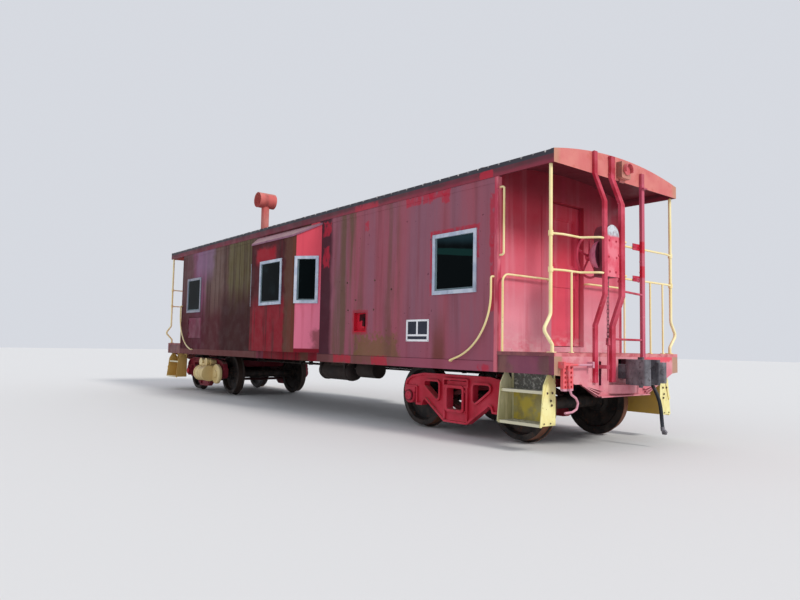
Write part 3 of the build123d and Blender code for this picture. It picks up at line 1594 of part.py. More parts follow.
# truck springs: full elliptic leaf springs on a plank slung between the side frames
spring_half = 280
spring_y = (735, 895)
spring_low = 272
spring_high = 540
leaf_thickness = 14
leaf_count = 4
for name, end in ends:
    truck_x = end * pivot
    with BuildPart() as springs:
        with BuildSketch(Plane.XY.offset(rail + spring_low - 40)):
            with Locations((truck_x, 0)):
                Rectangle(300, 2 * frame_inner_y)
        extrude(amount=40)
        for _, side in sides:
            with BuildSketch(Plane.XZ.offset(-side * spring_y[0])):
                middle = rail + (spring_low + spring_high) / 2
                rise = (spring_high - spring_low) / 2
                for up in (1, -1):
                    with BuildLine():
                        ThreePointArc(
                            (truck_x - spring_half, middle),
                            (truck_x, middle + up * rise),
                            (truck_x + spring_half, middle),
                        )
                        ThreePointArc(
                            (truck_x + spring_half, middle),
                            (truck_x, middle + up * (rise - leaf_thickness * leaf_count)),
                            (truck_x - spring_half, middle),
                        )
                    make_face()
                with Locations((truck_x - spring_half, middle), (truck_x + spring_half, middle)):
                    Circle(22)
            extrude(amount=-side * (spring_y[1] - spring_y[0]))
            with BuildSketch(Plane.XY.offset(rail + spring_low)):
                with Locations((truck_x, side * (spring_y[0] + spring_y[1]) / 2)):
                    Rectangle(110, spring_y[1] - spring_y[0])
            extrude(amount=10)
    save(springs, f"{name}_truck_springs")

# brake beams: a beam by each axle with a head and shoe at each wheel, and ends guided by the side frames
shoe_gap = 8
shoe_depth = 45
shoe_half_width = 42
shoe_y = 762
beam_height = 400
beam_x = 355
head_reach = half_base - wheel_radius - shoe_gap - 23 - beam_x
for name, end in ends:
    truck_x = end * pivot
    with BuildPart() as brake_beams:
        for hand in (1, -1):
            with BuildSketch(Plane.XZ.offset(-frame_inner_y)):
                with Locations((truck_x + hand * beam_x, rail + beam_height)):
                    Rectangle(44, 60)
            extrude(amount=2 * frame_inner_y)
            for _, side in sides:
                with BuildSketch(Plane.XZ.offset(-side * shoe_y)):
                    with Locations((truck_x + hand * half_base, axle_height)):
                        Circle(wheel_radius + shoe_gap + shoe_depth)
                        Circle(wheel_radius + shoe_gap, mode=Mode.SUBTRACT)
                    with Locations((truck_x + hand * (half_base - wheel_radius - 56), axle_height)):
                        Rectangle(260, 300, mode=Mode.INTERSECT)
                    with Locations((truck_x + hand * (beam_x + head_reach / 2), rail + beam_height + 20)):
                        Rectangle(head_reach, 120)
                extrude(amount=shoe_half_width, both=True)
    save(brake_beams, f"{name}_truck_brake_beams")

# wheelsets: axle, journals, end caps and flanged wheels turned as one
back_clearance = 37.5
wheel_back = gauge / 2 - back_clearance
rim_width = 135
rim_depth = 69
axle_radius = 80
hub_radius = 135
wheel_profile = (
    (0, 0),
    (axle_radius, 0),
    (axle_radius, wheel_back - 30),
    (hub_radius - 5, wheel_back - 10),
    (hub_radius - 5, wheel_back + 25),
    (hub_radius + 40, wheel_back + 45),
    (wheel_radius - rim_depth - 20, wheel_back + 25),
    (wheel_radius - rim_depth, wheel_back),
    (wheel_radius + flange_height - 6, wheel_back),
    (wheel_radius + flange_height, wheel_back + 10),
    (wheel_radius + flange_height - 4, wheel_back + 22),
    (wheel_radius + 4, wheel_back + 32),
    (wheel_radius, wheel_back + 55),
    (wheel_radius - 4, wheel_back + rim_width),
    (wheel_radius - rim_depth, wheel_back + rim_width),
    (wheel_radius - rim_depth - 20, wheel_back + 70),
    (hub_radius + 55, wheel_back + 85),
    (hub_radius, wheel_back + 100),
    (hub_radius, wheel_back + 160),
    (axle_radius + 5, wheel_back + 165),
    (axle_radius + 5, frame_inner_y - 40),
    (journal_radius, frame_inner_y - 40),
    (journal_radius, frame_inner_y + 122),
    (journal_radius + 15, frame_inner_y + 122),
    (journal_radius + 15, frame_inner_y + 142),
    (0, frame_inner_y + 142),
)
for number, x in enumerate((pivot + half_base, pivot - half_base, -pivot + half_base, -pivot - half_base), start=1):
    with BuildPart() as wheelset:
        with BuildSketch(Plane((x, 0, axle_height), x_dir=(1, 0, 0), z_dir=(0, 0, -1))):
            with BuildLine():
                right_half = [(radius, -y) for radius, y in wheel_profile]
                Polyline(*right_half, close=True)
            make_face()
        revolve(axis=Axis((x, 0, axle_height), (0, 1, 0)))
        mirror(about=Plane.XZ)
    save(wheelset, f"wheelset_{number}")

# axle generator: a belt guard disc on the rear truck's inner axle, right side, the drum behind it on a bracket
# of the side frame, and two adjusting eyes
generator_x = -pivot + half_base
generator_y = -(frame_inner_y + frame_depth_y + 60)
guard_radius = 205
guard_depth = 60
drum_radius = 152
drum_flange = 14
drum_length = 470
drum_x = generator_x - 400
drum_height = axle_height + 5
drum_y = -(frame_inner_y + frame_depth_y + ring_rise + drum_flange + drum_radius + 2)
ear_places = ((-640, 652, 88), (-360, 660, 82))
with BuildPart() as axle_generator:
    with BuildSketch(Plane.XZ.offset(-generator_y)):
        with Locations((generator_x, axle_height)):
            Circle(guard_radius)
    extrude(amount=guard_depth)
    chamfer(axle_generator.edges().filter_by(GeomType.CIRCLE).sort_by(Axis.Y)[0], 12)
    with BuildSketch(Plane.XZ.offset(-generator_y + guard_depth)):
        with Locations((generator_x, axle_height)):
            Circle(78)
    extrude(amount=26)
    with BuildSketch(Plane.YZ.offset(drum_x - drum_length / 2)):
        with Locations((drum_y, drum_height)):
            Circle(drum_radius)
    extrude(amount=drum_length)
    for x in (drum_x - drum_length / 2, drum_x + drum_length / 2 - 34):
        with BuildSketch(Plane.YZ.offset(x)):
            with Locations((drum_y, drum_height)):
                Circle(drum_radius + drum_flange)
        extrude(amount=34)
    for x in (drum_x - 60, drum_x + 60):
        with BuildSketch(Plane.YZ.offset(x - 8)):
            with Locations((drum_y, drum_height)):
                Circle(drum_radius + 7)
        extrude(amount=16)
    for x, z, radius in ear_places:
        with BuildSketch(Plane.XZ.offset(-generator_y + 10)):
            with Locations((generator_x + x, rail + z)):
                Circle(radius)
        extrude(amount=120)
    with BuildSketch(Plane.XZ.offset(frame_inner_y + frame_depth_y + seat_gap)):
        with Locations((drum_x - 50, rail + 655)):
            RectangleRounded(420, 110, 30)
    extrude(amount=-generator_y + 60 - frame_inner_y - frame_depth_y)
    with BuildSketch(Plane.XZ.offset(frame_inner_y + frame_depth_y + ring_rise + seat_gap)):
        with Locations((drum_x - 60, drum_height + 100)):
            Rectangle(240, 200)
    extrude(amount=-drum_y - frame_inner_y - frame_depth_y - ring_rise - seat_gap)
save(axle_generator, "axle_generator")
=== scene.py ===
import math
import random

import bmesh
import bpy
from mathutils import Matrix, Vector


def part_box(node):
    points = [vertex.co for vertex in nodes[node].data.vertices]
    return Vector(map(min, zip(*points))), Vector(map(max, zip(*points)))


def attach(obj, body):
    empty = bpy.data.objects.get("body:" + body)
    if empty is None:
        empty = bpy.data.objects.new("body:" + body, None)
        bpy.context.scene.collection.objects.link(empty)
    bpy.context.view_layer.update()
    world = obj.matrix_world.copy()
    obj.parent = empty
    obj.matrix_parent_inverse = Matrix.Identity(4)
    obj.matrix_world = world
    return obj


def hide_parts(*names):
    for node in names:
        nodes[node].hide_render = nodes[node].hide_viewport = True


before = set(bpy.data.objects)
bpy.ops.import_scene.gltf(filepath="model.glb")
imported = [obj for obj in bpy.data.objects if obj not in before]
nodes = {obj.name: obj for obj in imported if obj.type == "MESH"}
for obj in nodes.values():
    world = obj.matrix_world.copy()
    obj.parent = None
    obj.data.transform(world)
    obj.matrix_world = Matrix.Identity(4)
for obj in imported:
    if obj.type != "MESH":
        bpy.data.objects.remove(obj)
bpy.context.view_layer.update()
random.seed(7)

# heights in the car's frame, in metres: the rail top is this far above the lowest point of the flanges
RAIL = 0.028

# wheelsets, from the photographed end to the far one
AXLE_XS = (4.895, 3.145, -3.145, -4.895)
AXLE_Z = RAIL + 0.419

# the photograph's size in pixels
PHOTO_WIDTH = 800
PHOTO_HEIGHT = 600

# camera: where the photograph was taken from
CAMERA_PLACE = Vector((10.009, -6.775, RAIL + 1.089))
CAMERA_YAW = math.radians(51.15)
CAMERA_PITCH = math.radians(4.019)
CAMERA_ROLL = math.radians(1.092)
LENS_MM = 29.17
SENSOR_MM = 36.0
CAMERA_REACH = 200


def add_object(name, data):
    made = bpy.data.objects.new(name, data)
    bpy.context.collection.objects.link(made)
    return made


def add_camera():
    data = bpy.data.cameras.new("camera")
    data.lens = LENS_MM
    data.sensor_width = SENSOR_MM
    data.clip_end = CAMERA_REACH
    camera = add_object("camera", data)
    level = math.cos(CAMERA_PITCH)
    forward = Vector((-math.sin(CAMERA_YAW) * level, math.cos(CAMERA_YAW) * level, math.sin(CAMERA_PITCH)))
    flat_right = Vector((math.cos(CAMERA_YAW), math.sin(CAMERA_YAW), 0))
    flat_up = flat_right.cross(forward)
    right = math.cos(CAMERA_ROLL) * flat_right + math.sin(CAMERA_ROLL) * flat_up
    up = math.cos(CAMERA_ROLL) * flat_up - math.sin(CAMERA_ROLL) * flat_right
    turn = Matrix((right, up, -forward)).transposed()
    camera.matrix_world = Matrix.Translation(CAMERA_PLACE) @ turn.to_4x4()
    bpy.context.scene.camera = camera


add_camera()


# small tools for procedural materials
PAINT_SHINE = 0.28
CHALKY_SHINE = 0.08
GLASS_SHINE = 0.1
GLASS_IOR = 1.2
NOISE_ROUGHNESS = 0.55
GRAIN_DEPTH = 0.0009

# where a mix node takes its two colours and gives the result
MIX_FIRST = 6
MIX_SECOND = 7
MIX_RESULT = 2


def srgb(red, green, blue):
    """A colour as seen, 0 to 255, turned into the linear values that shaders use."""
    values = []
    for value in (red, green, blue):
        value /= 255
        values.append(value / 12.92 if value <= 0.04045 else ((value + 0.055) / 1.055) ** 2.4)
    return (*values, 1)


class Surface:
    """A material under construction, with its shader and short names for the nodes it is made from."""

    def __init__(self, name):
        self.material = bpy.data.materials.new(name)
        self.material.use_nodes = True
        self.tree = self.material.node_tree
        self.shader = self.tree.nodes["Principled BSDF"]
        self.shine(PAINT_SHINE)
        self.place = self.node("ShaderNodeTexCoord").outputs["Object"]
        split = self.node("ShaderNodeSeparateXYZ")
        self.link(self.place, split.inputs[0])
        self.x, self.y, self.z = split.outputs
        facing = self.node("ShaderNodeSeparateXYZ")
        self.link(self.node("ShaderNodeNewGeometry").outputs["Normal"], facing.inputs[0])
        self.nx, self.ny, self.nz = facing.outputs

    def node(self, kind):
        return self.tree.nodes.new(kind)

    def link(self, source, target):
        self.tree.links.new(source, target)

    def feed(self, value, socket):
        """Link another node's output to a socket, or set the socket to a plain value."""
        if isinstance(value, bpy.types.NodeSocket):
            self.link(value, socket)
        else:
            socket.default_value = value

    def math(self, operation, first, second=0.0):
        node = self.node("ShaderNodeMath")
        node.operation = operation
        self.feed(first, node.inputs[0])
        self.feed(second, node.inputs[1])
        return node.outputs[0]

    def absolute(self, value):
        return self.math("ABSOLUTE", value)

    def times(self, *values):
        """The product of two or more values."""
        result = values[0]
        for value in values[1:]:
            result = self.math("MULTIPLY", result, value)
        return result

    def noise(self, scale, detail, stretch=(1, 1, 1), shift=0.0):
        """Cloudy values from about 0.3 to 0.7; shift gives another stretch of the same noise."""
        mapping = self.node("ShaderNodeMapping")
        mapping.inputs["Scale"].default_value = stretch
        mapping.inputs["Location"].default_value = (shift, shift * 0.7, shift * 1.3)
        self.link(self.place, mapping.inputs["Vector"])
        node = self.node("ShaderNodeTexNoise")
        node.inputs["Scale"].default_value = scale
        node.inputs["Detail"].default_value = detail
        node.inputs["Roughness"].default_value = NOISE_ROUGHNESS
        self.link(mapping.outputs[0], node.inputs["Vector"])
        return node.outputs["Fac"]

    def span(self, value, low, high, to_low=0.0, to_high=1.0):
        """The value carried smoothly from one range to another, and held at its ends."""
        node = self.node("ShaderNodeMapRange")
        node.interpolation_type = "SMOOTHSTEP"
        self.feed(value, node.inputs["Value"])
        node.inputs["From Min"].default_value = low
        node.inputs["From Max"].default_value = high
        node.inputs["To Min"].default_value = to_low
        node.inputs["To Max"].default_value = to_high
        return node.outputs[0]

    def mix(self, amount, first, second):
        """The first colour where the amount is 0, the second where it is 1."""
        node = self.node("ShaderNodeMix")
        node.data_type = "RGBA"
        self.feed(amount, node.inputs[0])
        self.feed(first, node.inputs[MIX_FIRST])
        self.feed(second, node.inputs[MIX_SECOND])
        return node.outputs[MIX_RESULT]

    def band(self, value, centre, half, soft):
        """1 within half of centre, falling to 0 over soft."""
        away = self.absolute(self.math("SUBTRACT", value, centre))
        return self.span(away, half, half + soft, 1.0, 0.0)

    def between(self, value, low, high, soft=0.02):
        """1 from low to high, falling to 0 over soft."""
        return self.band(value, (low + high) / 2, (high - low) / 2, soft)

    def ragged(self, value, wander, scale=9, shift=0.0):
        """The value pushed to and fro by noise, which gives uneven edges."""
        push = self.math("MULTIPLY", self.math("SUBTRACT", self.noise(scale, 5, shift=shift), 0.5), wander)
        return self.math("ADD", value, push)

    def patch(self, x_range, z_range, soft, wander, along=None):
        """1 inside a rectangle on a side of the car, with a ragged edge."""
        across = self.between(self.ragged(self.x if along is None else along, wander * 3), *x_range, soft)
        upright = self.between(self.ragged(self.z, wander * 3, 14, 3.0), *z_range, soft)
        return self.math("MULTIPLY", across, upright)

    def streaks(self, low=0.5, high=0.7, scale=7, fall=0.06, shift=0.0):
        """Runs down a wall: noise drawn out along z."""
        return self.span(self.noise(scale, 5, (1, 1, fall), shift), low, high)

    def color(self, value):
        self.feed(value, self.shader.inputs["Base Color"])

    def shine(self, level):
        self.shader.inputs["Specular IOR Level"].default_value = level

    def roughness(self, value):
        self.feed(value, self.shader.inputs["Roughness"])

    def bump(self, height, distance, strength=1.0, under=None):
        node = self.node("ShaderNodeBump")
        node.inputs["Strength"].default_value = strength
        node.inputs["Distance"].default_value = distance
        self.link(height, node.inputs["Height"])
        if under is not None:
            self.link(under, node.inputs["Normal"])
        self.link(node.outputs[0], self.shader.inputs["Normal"])
        return node.outputs[0]

    def skin(self, rough, wave=0.004):
        """A slightly buckled sheet with a fine rough skin and uneven shine."""
        self.roughness(self.span(self.noise(5, 5), 0.3, 0.7, rough - 0.1, rough + 0.16))
        under = self.bump(self.noise(1.8, 2), wave)
        self.bump(self.noise(70, 5), GRAIN_DEPTH, 1.0, under)
        return self.material

    def specks(self, base, amount, dark=(70, 34, 28), scale=38, low=0.67, high=0.73):
        """A colour with small spots of rust or of another colour."""
        rust = self.span(self.noise(scale, 4, shift=5.0), low, high)
        return self.mix(self.math("MULTIPLY", rust, amount), base, srgb(*dark))


def paint(name, plain, faded, dark, streaks, rust=0.25, rough=0.5, wave=0.002):
    """Old paint: patches that have faded, dark runs and small rust spots."""
    s = Surface(name)
    base = s.mix(s.span(s.noise(2.1, 6), 0.36, 0.66), srgb(*plain), srgb(*faded))
    base = s.mix(s.times(s.streaks(), streaks), base, srgb(*dark))
    dust = s.times(s.span(s.nz, 0.45, 0.85), s.span(s.noise(11, 5, shift=6.0), 0.35, 0.6, 0.15, 0.5))
    base = s.mix(dust, base, srgb(168, 146, 134))
    s.color(s.specks(base, rust))
    return s.skin(rough, wave)


# brighter patches on the photographed side: range along the car, range up, and how far the edge wanders
RED_PATCHES = (
    ((1.2, 1.34), (2.34, 2.64), 0.05),
    ((1.18, 1.36), (2.84, 3.05), 0.06),
    ((3.27, 3.8), (3.0, 3.1), 0.03),
    ((3.75, 4.12), (3.03, 3.1), 0.03),
    ((3.98, 4.1), (2.95, 3.05), 0.03),
    ((2.32, 2.4), (2.8, 2.9), 0.04),
    ((1.56, 2.0), (0.86, 0.945), 0.03),
    ((2.55, 2.88), (0.85, 0.95), 0.025),
    ((4.66, 4.8), (0.84, 0.9), 0.04),
    ((3.78, 4.63), (2.535, 2.575), 0.02),
    ((3.785, 3.815), (1.78, 2.56), 0.02),
    ((4.6, 4.625), (2.2, 2.5), 0.03),
    ((4.83, 4.888), (2.3, 2.9), 0.02),
    ((4.84, 4.888), (1.55, 2.3), 0.02),
    ((-4.45, -4.36), (1.28, 1.36), 0.05),
)
RECESS = ((2.085, 2.385), (1.303, 1.583))
RECESS_RIM = ((2.06, 2.41), (1.28, 1.61))
# painted shadow in the upper corner of the recess
RECESS_SHADOWS = (
    ((2.16, 2.362), (1.475, 1.562)),
    ((2.262, 2.362), (1.395, 1.51)),
)
SIDE_SEAM_Z = 0.96
CORNER_STRIP_X = 4.888


def side_front_half(s):
    """Chalky maroon with vertical runs, more purple low down."""
    base = s.mix(s.streaks(0.36, 0.68, 3.4, 0.05), srgb(162, 88, 102), srgb(146, 96, 112))
    base = s.mix(s.times(s.streaks(0.46, 0.74, 8, 0.05, 4.0), 0.5), base, srgb(124, 66, 74))
    low_fade = s.span(s.z, 1.0, 1.5, 0.5, 0.0)
    return s.mix(low_fade, base, srgb(158, 84, 104))


def side_rear_half(s):
    """Stretches of purple, brown and olive with dark runs, lilac high up and dark red low down."""
    along = s.ragged(s.x, 0.35, 5, 2.0)
    base = s.mix(s.between(along, -4.1, -3.5, 0.3), srgb(108, 74, 78), srgb(144, 84, 116))
    base = s.mix(s.times(s.between(along, -3.45, -2.7, 0.25), 0.85), base, srgb(118, 96, 88))
    base = s.mix(s.times(s.between(along, -2.3, -1.4, 0.3), 0.9), base, srgb(104, 96, 66))
    base = s.mix(s.times(s.streaks(0.46, 0.66, 9, 0.05, 9.0), 0.6), base, srgb(74, 54, 46))
    base = s.mix(s.times(s.streaks(0.5, 0.62, 24, 0.025, 12.0), 0.45), base, srgb(58, 36, 36))
    lilac = s.times(s.between(along, -4.0, -3.3, 0.25), s.span(s.z, 2.3, 2.8))
    base = s.mix(s.times(lilac, 0.7), base, srgb(142, 112, 140))
    base = s.mix(s.span(s.ragged(s.z, 0.9, 2.5), 1.5, 2.35, 0.9, 0.0), base, srgb(84, 34, 42))
    beside_bay = s.times(s.between(along, -2.6, -1.3, 0.3), s.span(s.z, 1.7, 2.4, 0.7, 0.0))
    return s.mix(beside_bay, base, srgb(58, 34, 34))


def side_smears(s, base):
    """Algae, brown and red runs, a dark stretch beside the bay and a duller strip below the lap seam."""
    algae = s.times(s.band(s.ragged(s.x, 0.35, 2), 1.88, 0.2, 0.3), s.streaks(0.36, 0.6, 5, 0.08, 1.0), 0.85)
    base = s.mix(algae, base, srgb(104, 82, 66))
    base = s.mix(s.times(s.patch((2.25, 3.0), (0.93, 1.14), 0.2, 0.25), 0.75), base, srgb(124, 96, 62))
    brown = s.times(s.band(s.ragged(s.x, 0.12, 3), 2.98, 0.07, 0.16), s.streaks(0.4, 0.6, 6, 0.1, 6.0), 0.6)
    base = s.mix(brown, base, srgb(112, 78, 70))
    red = s.times(s.band(s.ragged(s.x, 0.1, 4), 3.95, 0.05, 0.12), s.span(s.z, 1.0, 1.7, 0.9, 0.0))
    base = s.mix(red, base, srgb(118, 66, 60))
    base = s.mix(s.times(s.band(s.ragged(s.x, 0.1, 3), 1.25, 0.12, 0.12), 0.9), base, srgb(62, 32, 42))
    below_seam = s.span(s.z, SIDE_SEAM_Z - 0.003, SIDE_SEAM_Z + 0.003, 1.0, 0.0)
    strip = s.mix(s.span(s.x, 2.0, 3.6), srgb(120, 74, 72), srgb(160, 84, 104))
    return s.mix(s.times(below_seam, 0.7), base, strip)


def side_touch_ups(s, base):
    """Brighter red patches, and the red recess with its rim and painted shadow in its hollow."""
    for across, upright, wander in RED_PATCHES:
        worn = s.span(s.noise(16, 5, (1, 1, 0.6), across[0]), 0.3, 0.5)
        base = s.mix(s.times(s.patch(across, upright, 0.03, wander), worn, 0.7), base, srgb(190, 42, 64))
    base = s.mix(s.times(s.patch(*RECESS_RIM, 0.03, 0.03), 0.55), base, srgb(170, 40, 58))
    base = s.mix(s.patch(*RECESS, 0.004, 0.0), base, srgb(198, 34, 54))
    # painted shadow in the hollow of the recess
    for across, upright in RECESS_SHADOWS:
        base = s.mix(s.times(s.patch(across, upright, 0.01, 0.02), 0.94), base, srgb(34, 10, 16))
    return base


def side_paint(name, photographed):
    """The long side: old maroon with smears, a dark lap seam, a brighter corner strip and dark chips."""
    s = Surface(name)
    base = s.mix(s.span(s.x, -1.3, 0.4), side_rear_half(s), side_front_half(s))
    base = side_smears(s, base)
    if photographed:
        base = side_touch_ups(s, base)
    seam = s.band(s.z, SIDE_SEAM_Z, 0.0015, 0.003)
    base = s.mix(s.times(seam, 0.75), base, srgb(58, 22, 32))
    corner = s.mix(s.streaks(0.4, 0.6, 8, 0.2), srgb(192, 70, 92), srgb(214, 116, 130))
    base = s.mix(s.span(s.x, CORNER_STRIP_X, CORNER_STRIP_X + 0.005), base, corner)
    chips = s.span(s.noise(16, 2, shift=8.0), 0.735, 0.75)
    base = s.mix(s.times(chips, 0.55), base, srgb(70, 34, 46))
    s.color(base)
    s.shine(CHALKY_SHINE)
    return s.skin(0.6, 0.006)


BAY_CORNER_X = 0.786
BAY_LIP_Z = 1.04


def bay_paint(name):
    """The bays: dark front with a crimson foot, a bright chalky panel before it and a dull one behind."""
    s = Surface(name)
    front = s.mix(s.span(s.ragged(s.z, 0.25, 4), 1.65, 2.0), srgb(138, 28, 42), srgb(84, 30, 36))
    front = s.mix(s.times(s.streaks(0.5, 0.62, 14, 0.04, 2.0), 0.6), front, srgb(62, 30, 32))
    front = s.mix(s.times(s.patch((0.56, 0.9), (0.8, 3.2), 0.12, 0.08), 0.8), front, srgb(96, 64, 50))
    front = s.mix(s.times(s.patch((-0.5, 0.1), (2.56, 2.72), 0.1, 0.06), 0.8), front, srgb(170, 30, 46))
    slant = s.mix(s.span(s.ragged(s.z, 0.4, 4), 1.5, 2.7), srgb(228, 124, 150), srgb(220, 82, 98))
    slant = s.mix(s.times(s.streaks(0.52, 0.7, 12, 0.06, 5.0), 0.35), slant, srgb(176, 52, 70))
    dirt = s.times(s.patch((1.07, 1.2), (0.9, 1.3), 0.08, 0.06), 0.7)
    slant = s.mix(dirt, slant, srgb(110, 62, 58))
    lip = s.span(s.z, BAY_LIP_Z - 0.01, BAY_LIP_Z + 0.01, 1.0, 0.0)
    slant = s.mix(lip, slant, srgb(126, 26, 40))
    far = s.mix(s.streaks(0.4, 0.6, 7, 0.06), srgb(132, 60, 78), srgb(104, 44, 54))
    base = s.mix(s.span(s.x, BAY_CORNER_X - 0.004, BAY_CORNER_X + 0.004), front, slant)
    base = s.mix(s.span(s.x, -BAY_CORNER_X - 0.004, -BAY_CORNER_X + 0.004, 1.0, 0.0), base, far)
    s.color(s.specks(base, 0.3))
    s.shine(CHALKY_SHINE)
    return s.skin(0.5, 0.004)


def end_paint(name, door=False):
    """The ends: red that has faded to pink towards the deck, with painted shade under the roof overhang at
    the top.
    """
    s = Surface(name)
    height = s.ragged(s.z, 0.35, 2.2)
    if door:
        base = s.mix(s.span(height, 1.2, 2.6), srgb(228, 82, 104), srgb(198, 50, 70))
    else:
        base = s.mix(s.span(height, 1.2, 2.1), srgb(230, 152, 166), srgb(214, 98, 116))
        base = s.mix(s.span(height, 1.9, 2.75), base, srgb(176, 44, 62))
    base = s.mix(s.times(s.streaks(0.5, 0.66, 6, 0.05), 0.45), base, srgb(196, 52, 84))
    base = s.mix(s.times(s.streaks(0.5, 0.78, 7, 0.04, 7.0), 0.32), base, srgb(226, 168, 180))
    # painted shade under the roof overhang: darker towards the top
    base = s.mix(s.span(s.z, 2.75, 3.1, 0.0, 0.6), base, srgb(96, 24, 36))
    worn = s.times(s.span(s.z, 1.1, 1.4, 0.5, 0.0), s.streaks(0.4, 0.7, 9, 2.0, 2.0))
    base = s.mix(worn, base, srgb(232, 196, 200))
    s.color(s.specks(base, 0.35, (150, 40, 60)))
    return s.skin(0.5, 0.005)


ROOF_BAND_TOP_Z = 3.198


def roof_paint(name):
    """The roof: grey sheet on top, maroon along the sides, salmon at the ends and dark red underneath."""
    s = Surface(name)
    top = s.mix(s.span(s.noise(3, 6), 0.35, 0.65), srgb(66, 64, 68), srgb(96, 94, 98))
    top = s.mix(s.times(s.span(s.noise(9, 5, shift=3.0), 0.55, 0.7), 0.5), top, srgb(74, 56, 46))
    along = s.mix(s.streaks(0.4, 0.62, 3, 0.6), srgb(94, 50, 58), srgb(116, 50, 64))
    reddish = s.times(s.span(s.ragged(s.z, 0.05, 6), 3.12, 3.17, 0.6, 0.0), s.span(s.x, 0.5, 2.0, 0.3, 1.0))
    along = s.mix(reddish, along, srgb(158, 54, 74))
    along = s.mix(s.times(s.patch((4.66, 4.84), (3.09, 3.19), 0.02, 0.03), 0.9), along, srgb(186, 40, 62))
    along = s.mix(s.times(s.patch((2.1, 2.6), (3.08, 3.15), 0.06, 0.05), 0.7), along, srgb(186, 48, 68))
    above = s.span(s.z, ROOF_BAND_TOP_Z - 0.002, ROOF_BAND_TOP_Z + 0.002)
    along = s.mix(above, along, srgb(62, 60, 68))
    ends = s.mix(s.span(s.noise(2.6, 6), 0.36, 0.62), srgb(206, 112, 110), srgb(214, 130, 122))
    ends = s.mix(s.times(s.span(s.noise(7, 5, shift=2.0), 0.52, 0.66), 0.55), ends, srgb(196, 98, 90))
    edge = s.span(s.absolute(s.y), 1.13, 1.24, 0.0, 0.7)
    ends = s.mix(edge, ends, srgb(188, 144, 116))
    under = s.mix(s.noise(3, 4), srgb(86, 22, 36), srgb(112, 36, 48))
    sideways = s.span(s.absolute(s.ny), 0.8, 0.9)
    lengthways = s.span(s.absolute(s.nx), 0.8, 0.9)
    base = s.mix(sideways, top, along)
    base = s.mix(lengthways, base, ends)
    base = s.mix(s.span(s.nz, -0.6, -0.5, 1.0, 0.0), base, under)
    s.color(base)
    return s.skin(0.62, 0.004)


def end_sill_paint(name):
    """The end sills: pink faces with brown-grey corners and maroon sides."""
    s = Surface(name)
    face = s.mix(s.span(s.noise(3, 5), 0.38, 0.6), srgb(210, 124, 136), srgb(220, 150, 156))
    face = s.mix(s.times(s.span(s.noise(8, 5, shift=4.0), 0.55, 0.68), 0.5), face, srgb(202, 96, 108))
    outer = s.absolute(s.y)
    face = s.mix(s.times(s.span(s.ragged(outer, 0.06), 1.1, 1.16), 0.9), face, srgb(172, 138, 112))
    touched_up = s.times(s.patch((0.35, 1.12), (0.985, 1.03), 0.02, 0.04, s.y), 0.8)
    face = s.mix(touched_up, face, srgb(226, 62, 82))
    side = s.mix(s.streaks(0.4, 0.62, 6, 0.4), srgb(110, 64, 70), srgb(132, 58, 84))
    base = s.mix(s.span(s.absolute(s.ny), 0.75, 0.85), face, side)
    base = s.mix(s.span(s.nz, -0.6, -0.4, 1.0, 0.0), base, srgb(120, 44, 54))
    s.color(s.specks(base, 0.5))
    return s.skin(0.5)


def sill_paint(name):
    """Side sills and deck edges: brown maroon with a magenta stretch below the platforms."""
    s = Surface(name)
    base = s.mix(s.streaks(0.4, 0.62, 6, 0.3), srgb(112, 72, 76), srgb(132, 88, 84))
    magenta = s.patch((5.2, 5.46), (0.82, 1.08), 0.16, 0.1)
    base = s.mix(s.times(magenta, 0.7), base, srgb(140, 68, 98))
    inside = s.span(s.absolute(s.y), 1.2, 1.23)
    base = s.mix(inside, srgb(52, 40, 38), base)
    s.color(s.specks(base, 0.4))
    return s.skin(0.6)


def deck_paint(name):
    """The deck: worn dusty pink on top, paler end edges, brownish side edges and a dark underside."""
    s = Surface(name)
    top = s.mix(s.span(s.noise(5, 5), 0.4, 0.62), srgb(150, 78, 84), srgb(186, 130, 122))
    edge = s.mix(s.span(s.noise(9, 6), 0.35, 0.65), srgb(186, 92, 100), srgb(212, 134, 136))
    side = s.mix(s.span(s.noise(9, 6), 0.35, 0.65), srgb(124, 70, 78), srgb(150, 92, 92))
    edge = s.mix(s.span(s.absolute(s.ny), 0.7, 0.8), edge, side)
    base = s.mix(s.span(s.nz, 0.5, 0.7), edge, top)
    base = s.mix(s.span(s.nz, -0.7, -0.5, 1.0, 0.0), base, srgb(48, 38, 36))
    s.color(s.specks(base, 0.5))
    return s.skin(0.65)


STEP_INNER_X = 5.035
STEP_OUTER_X = 5.585


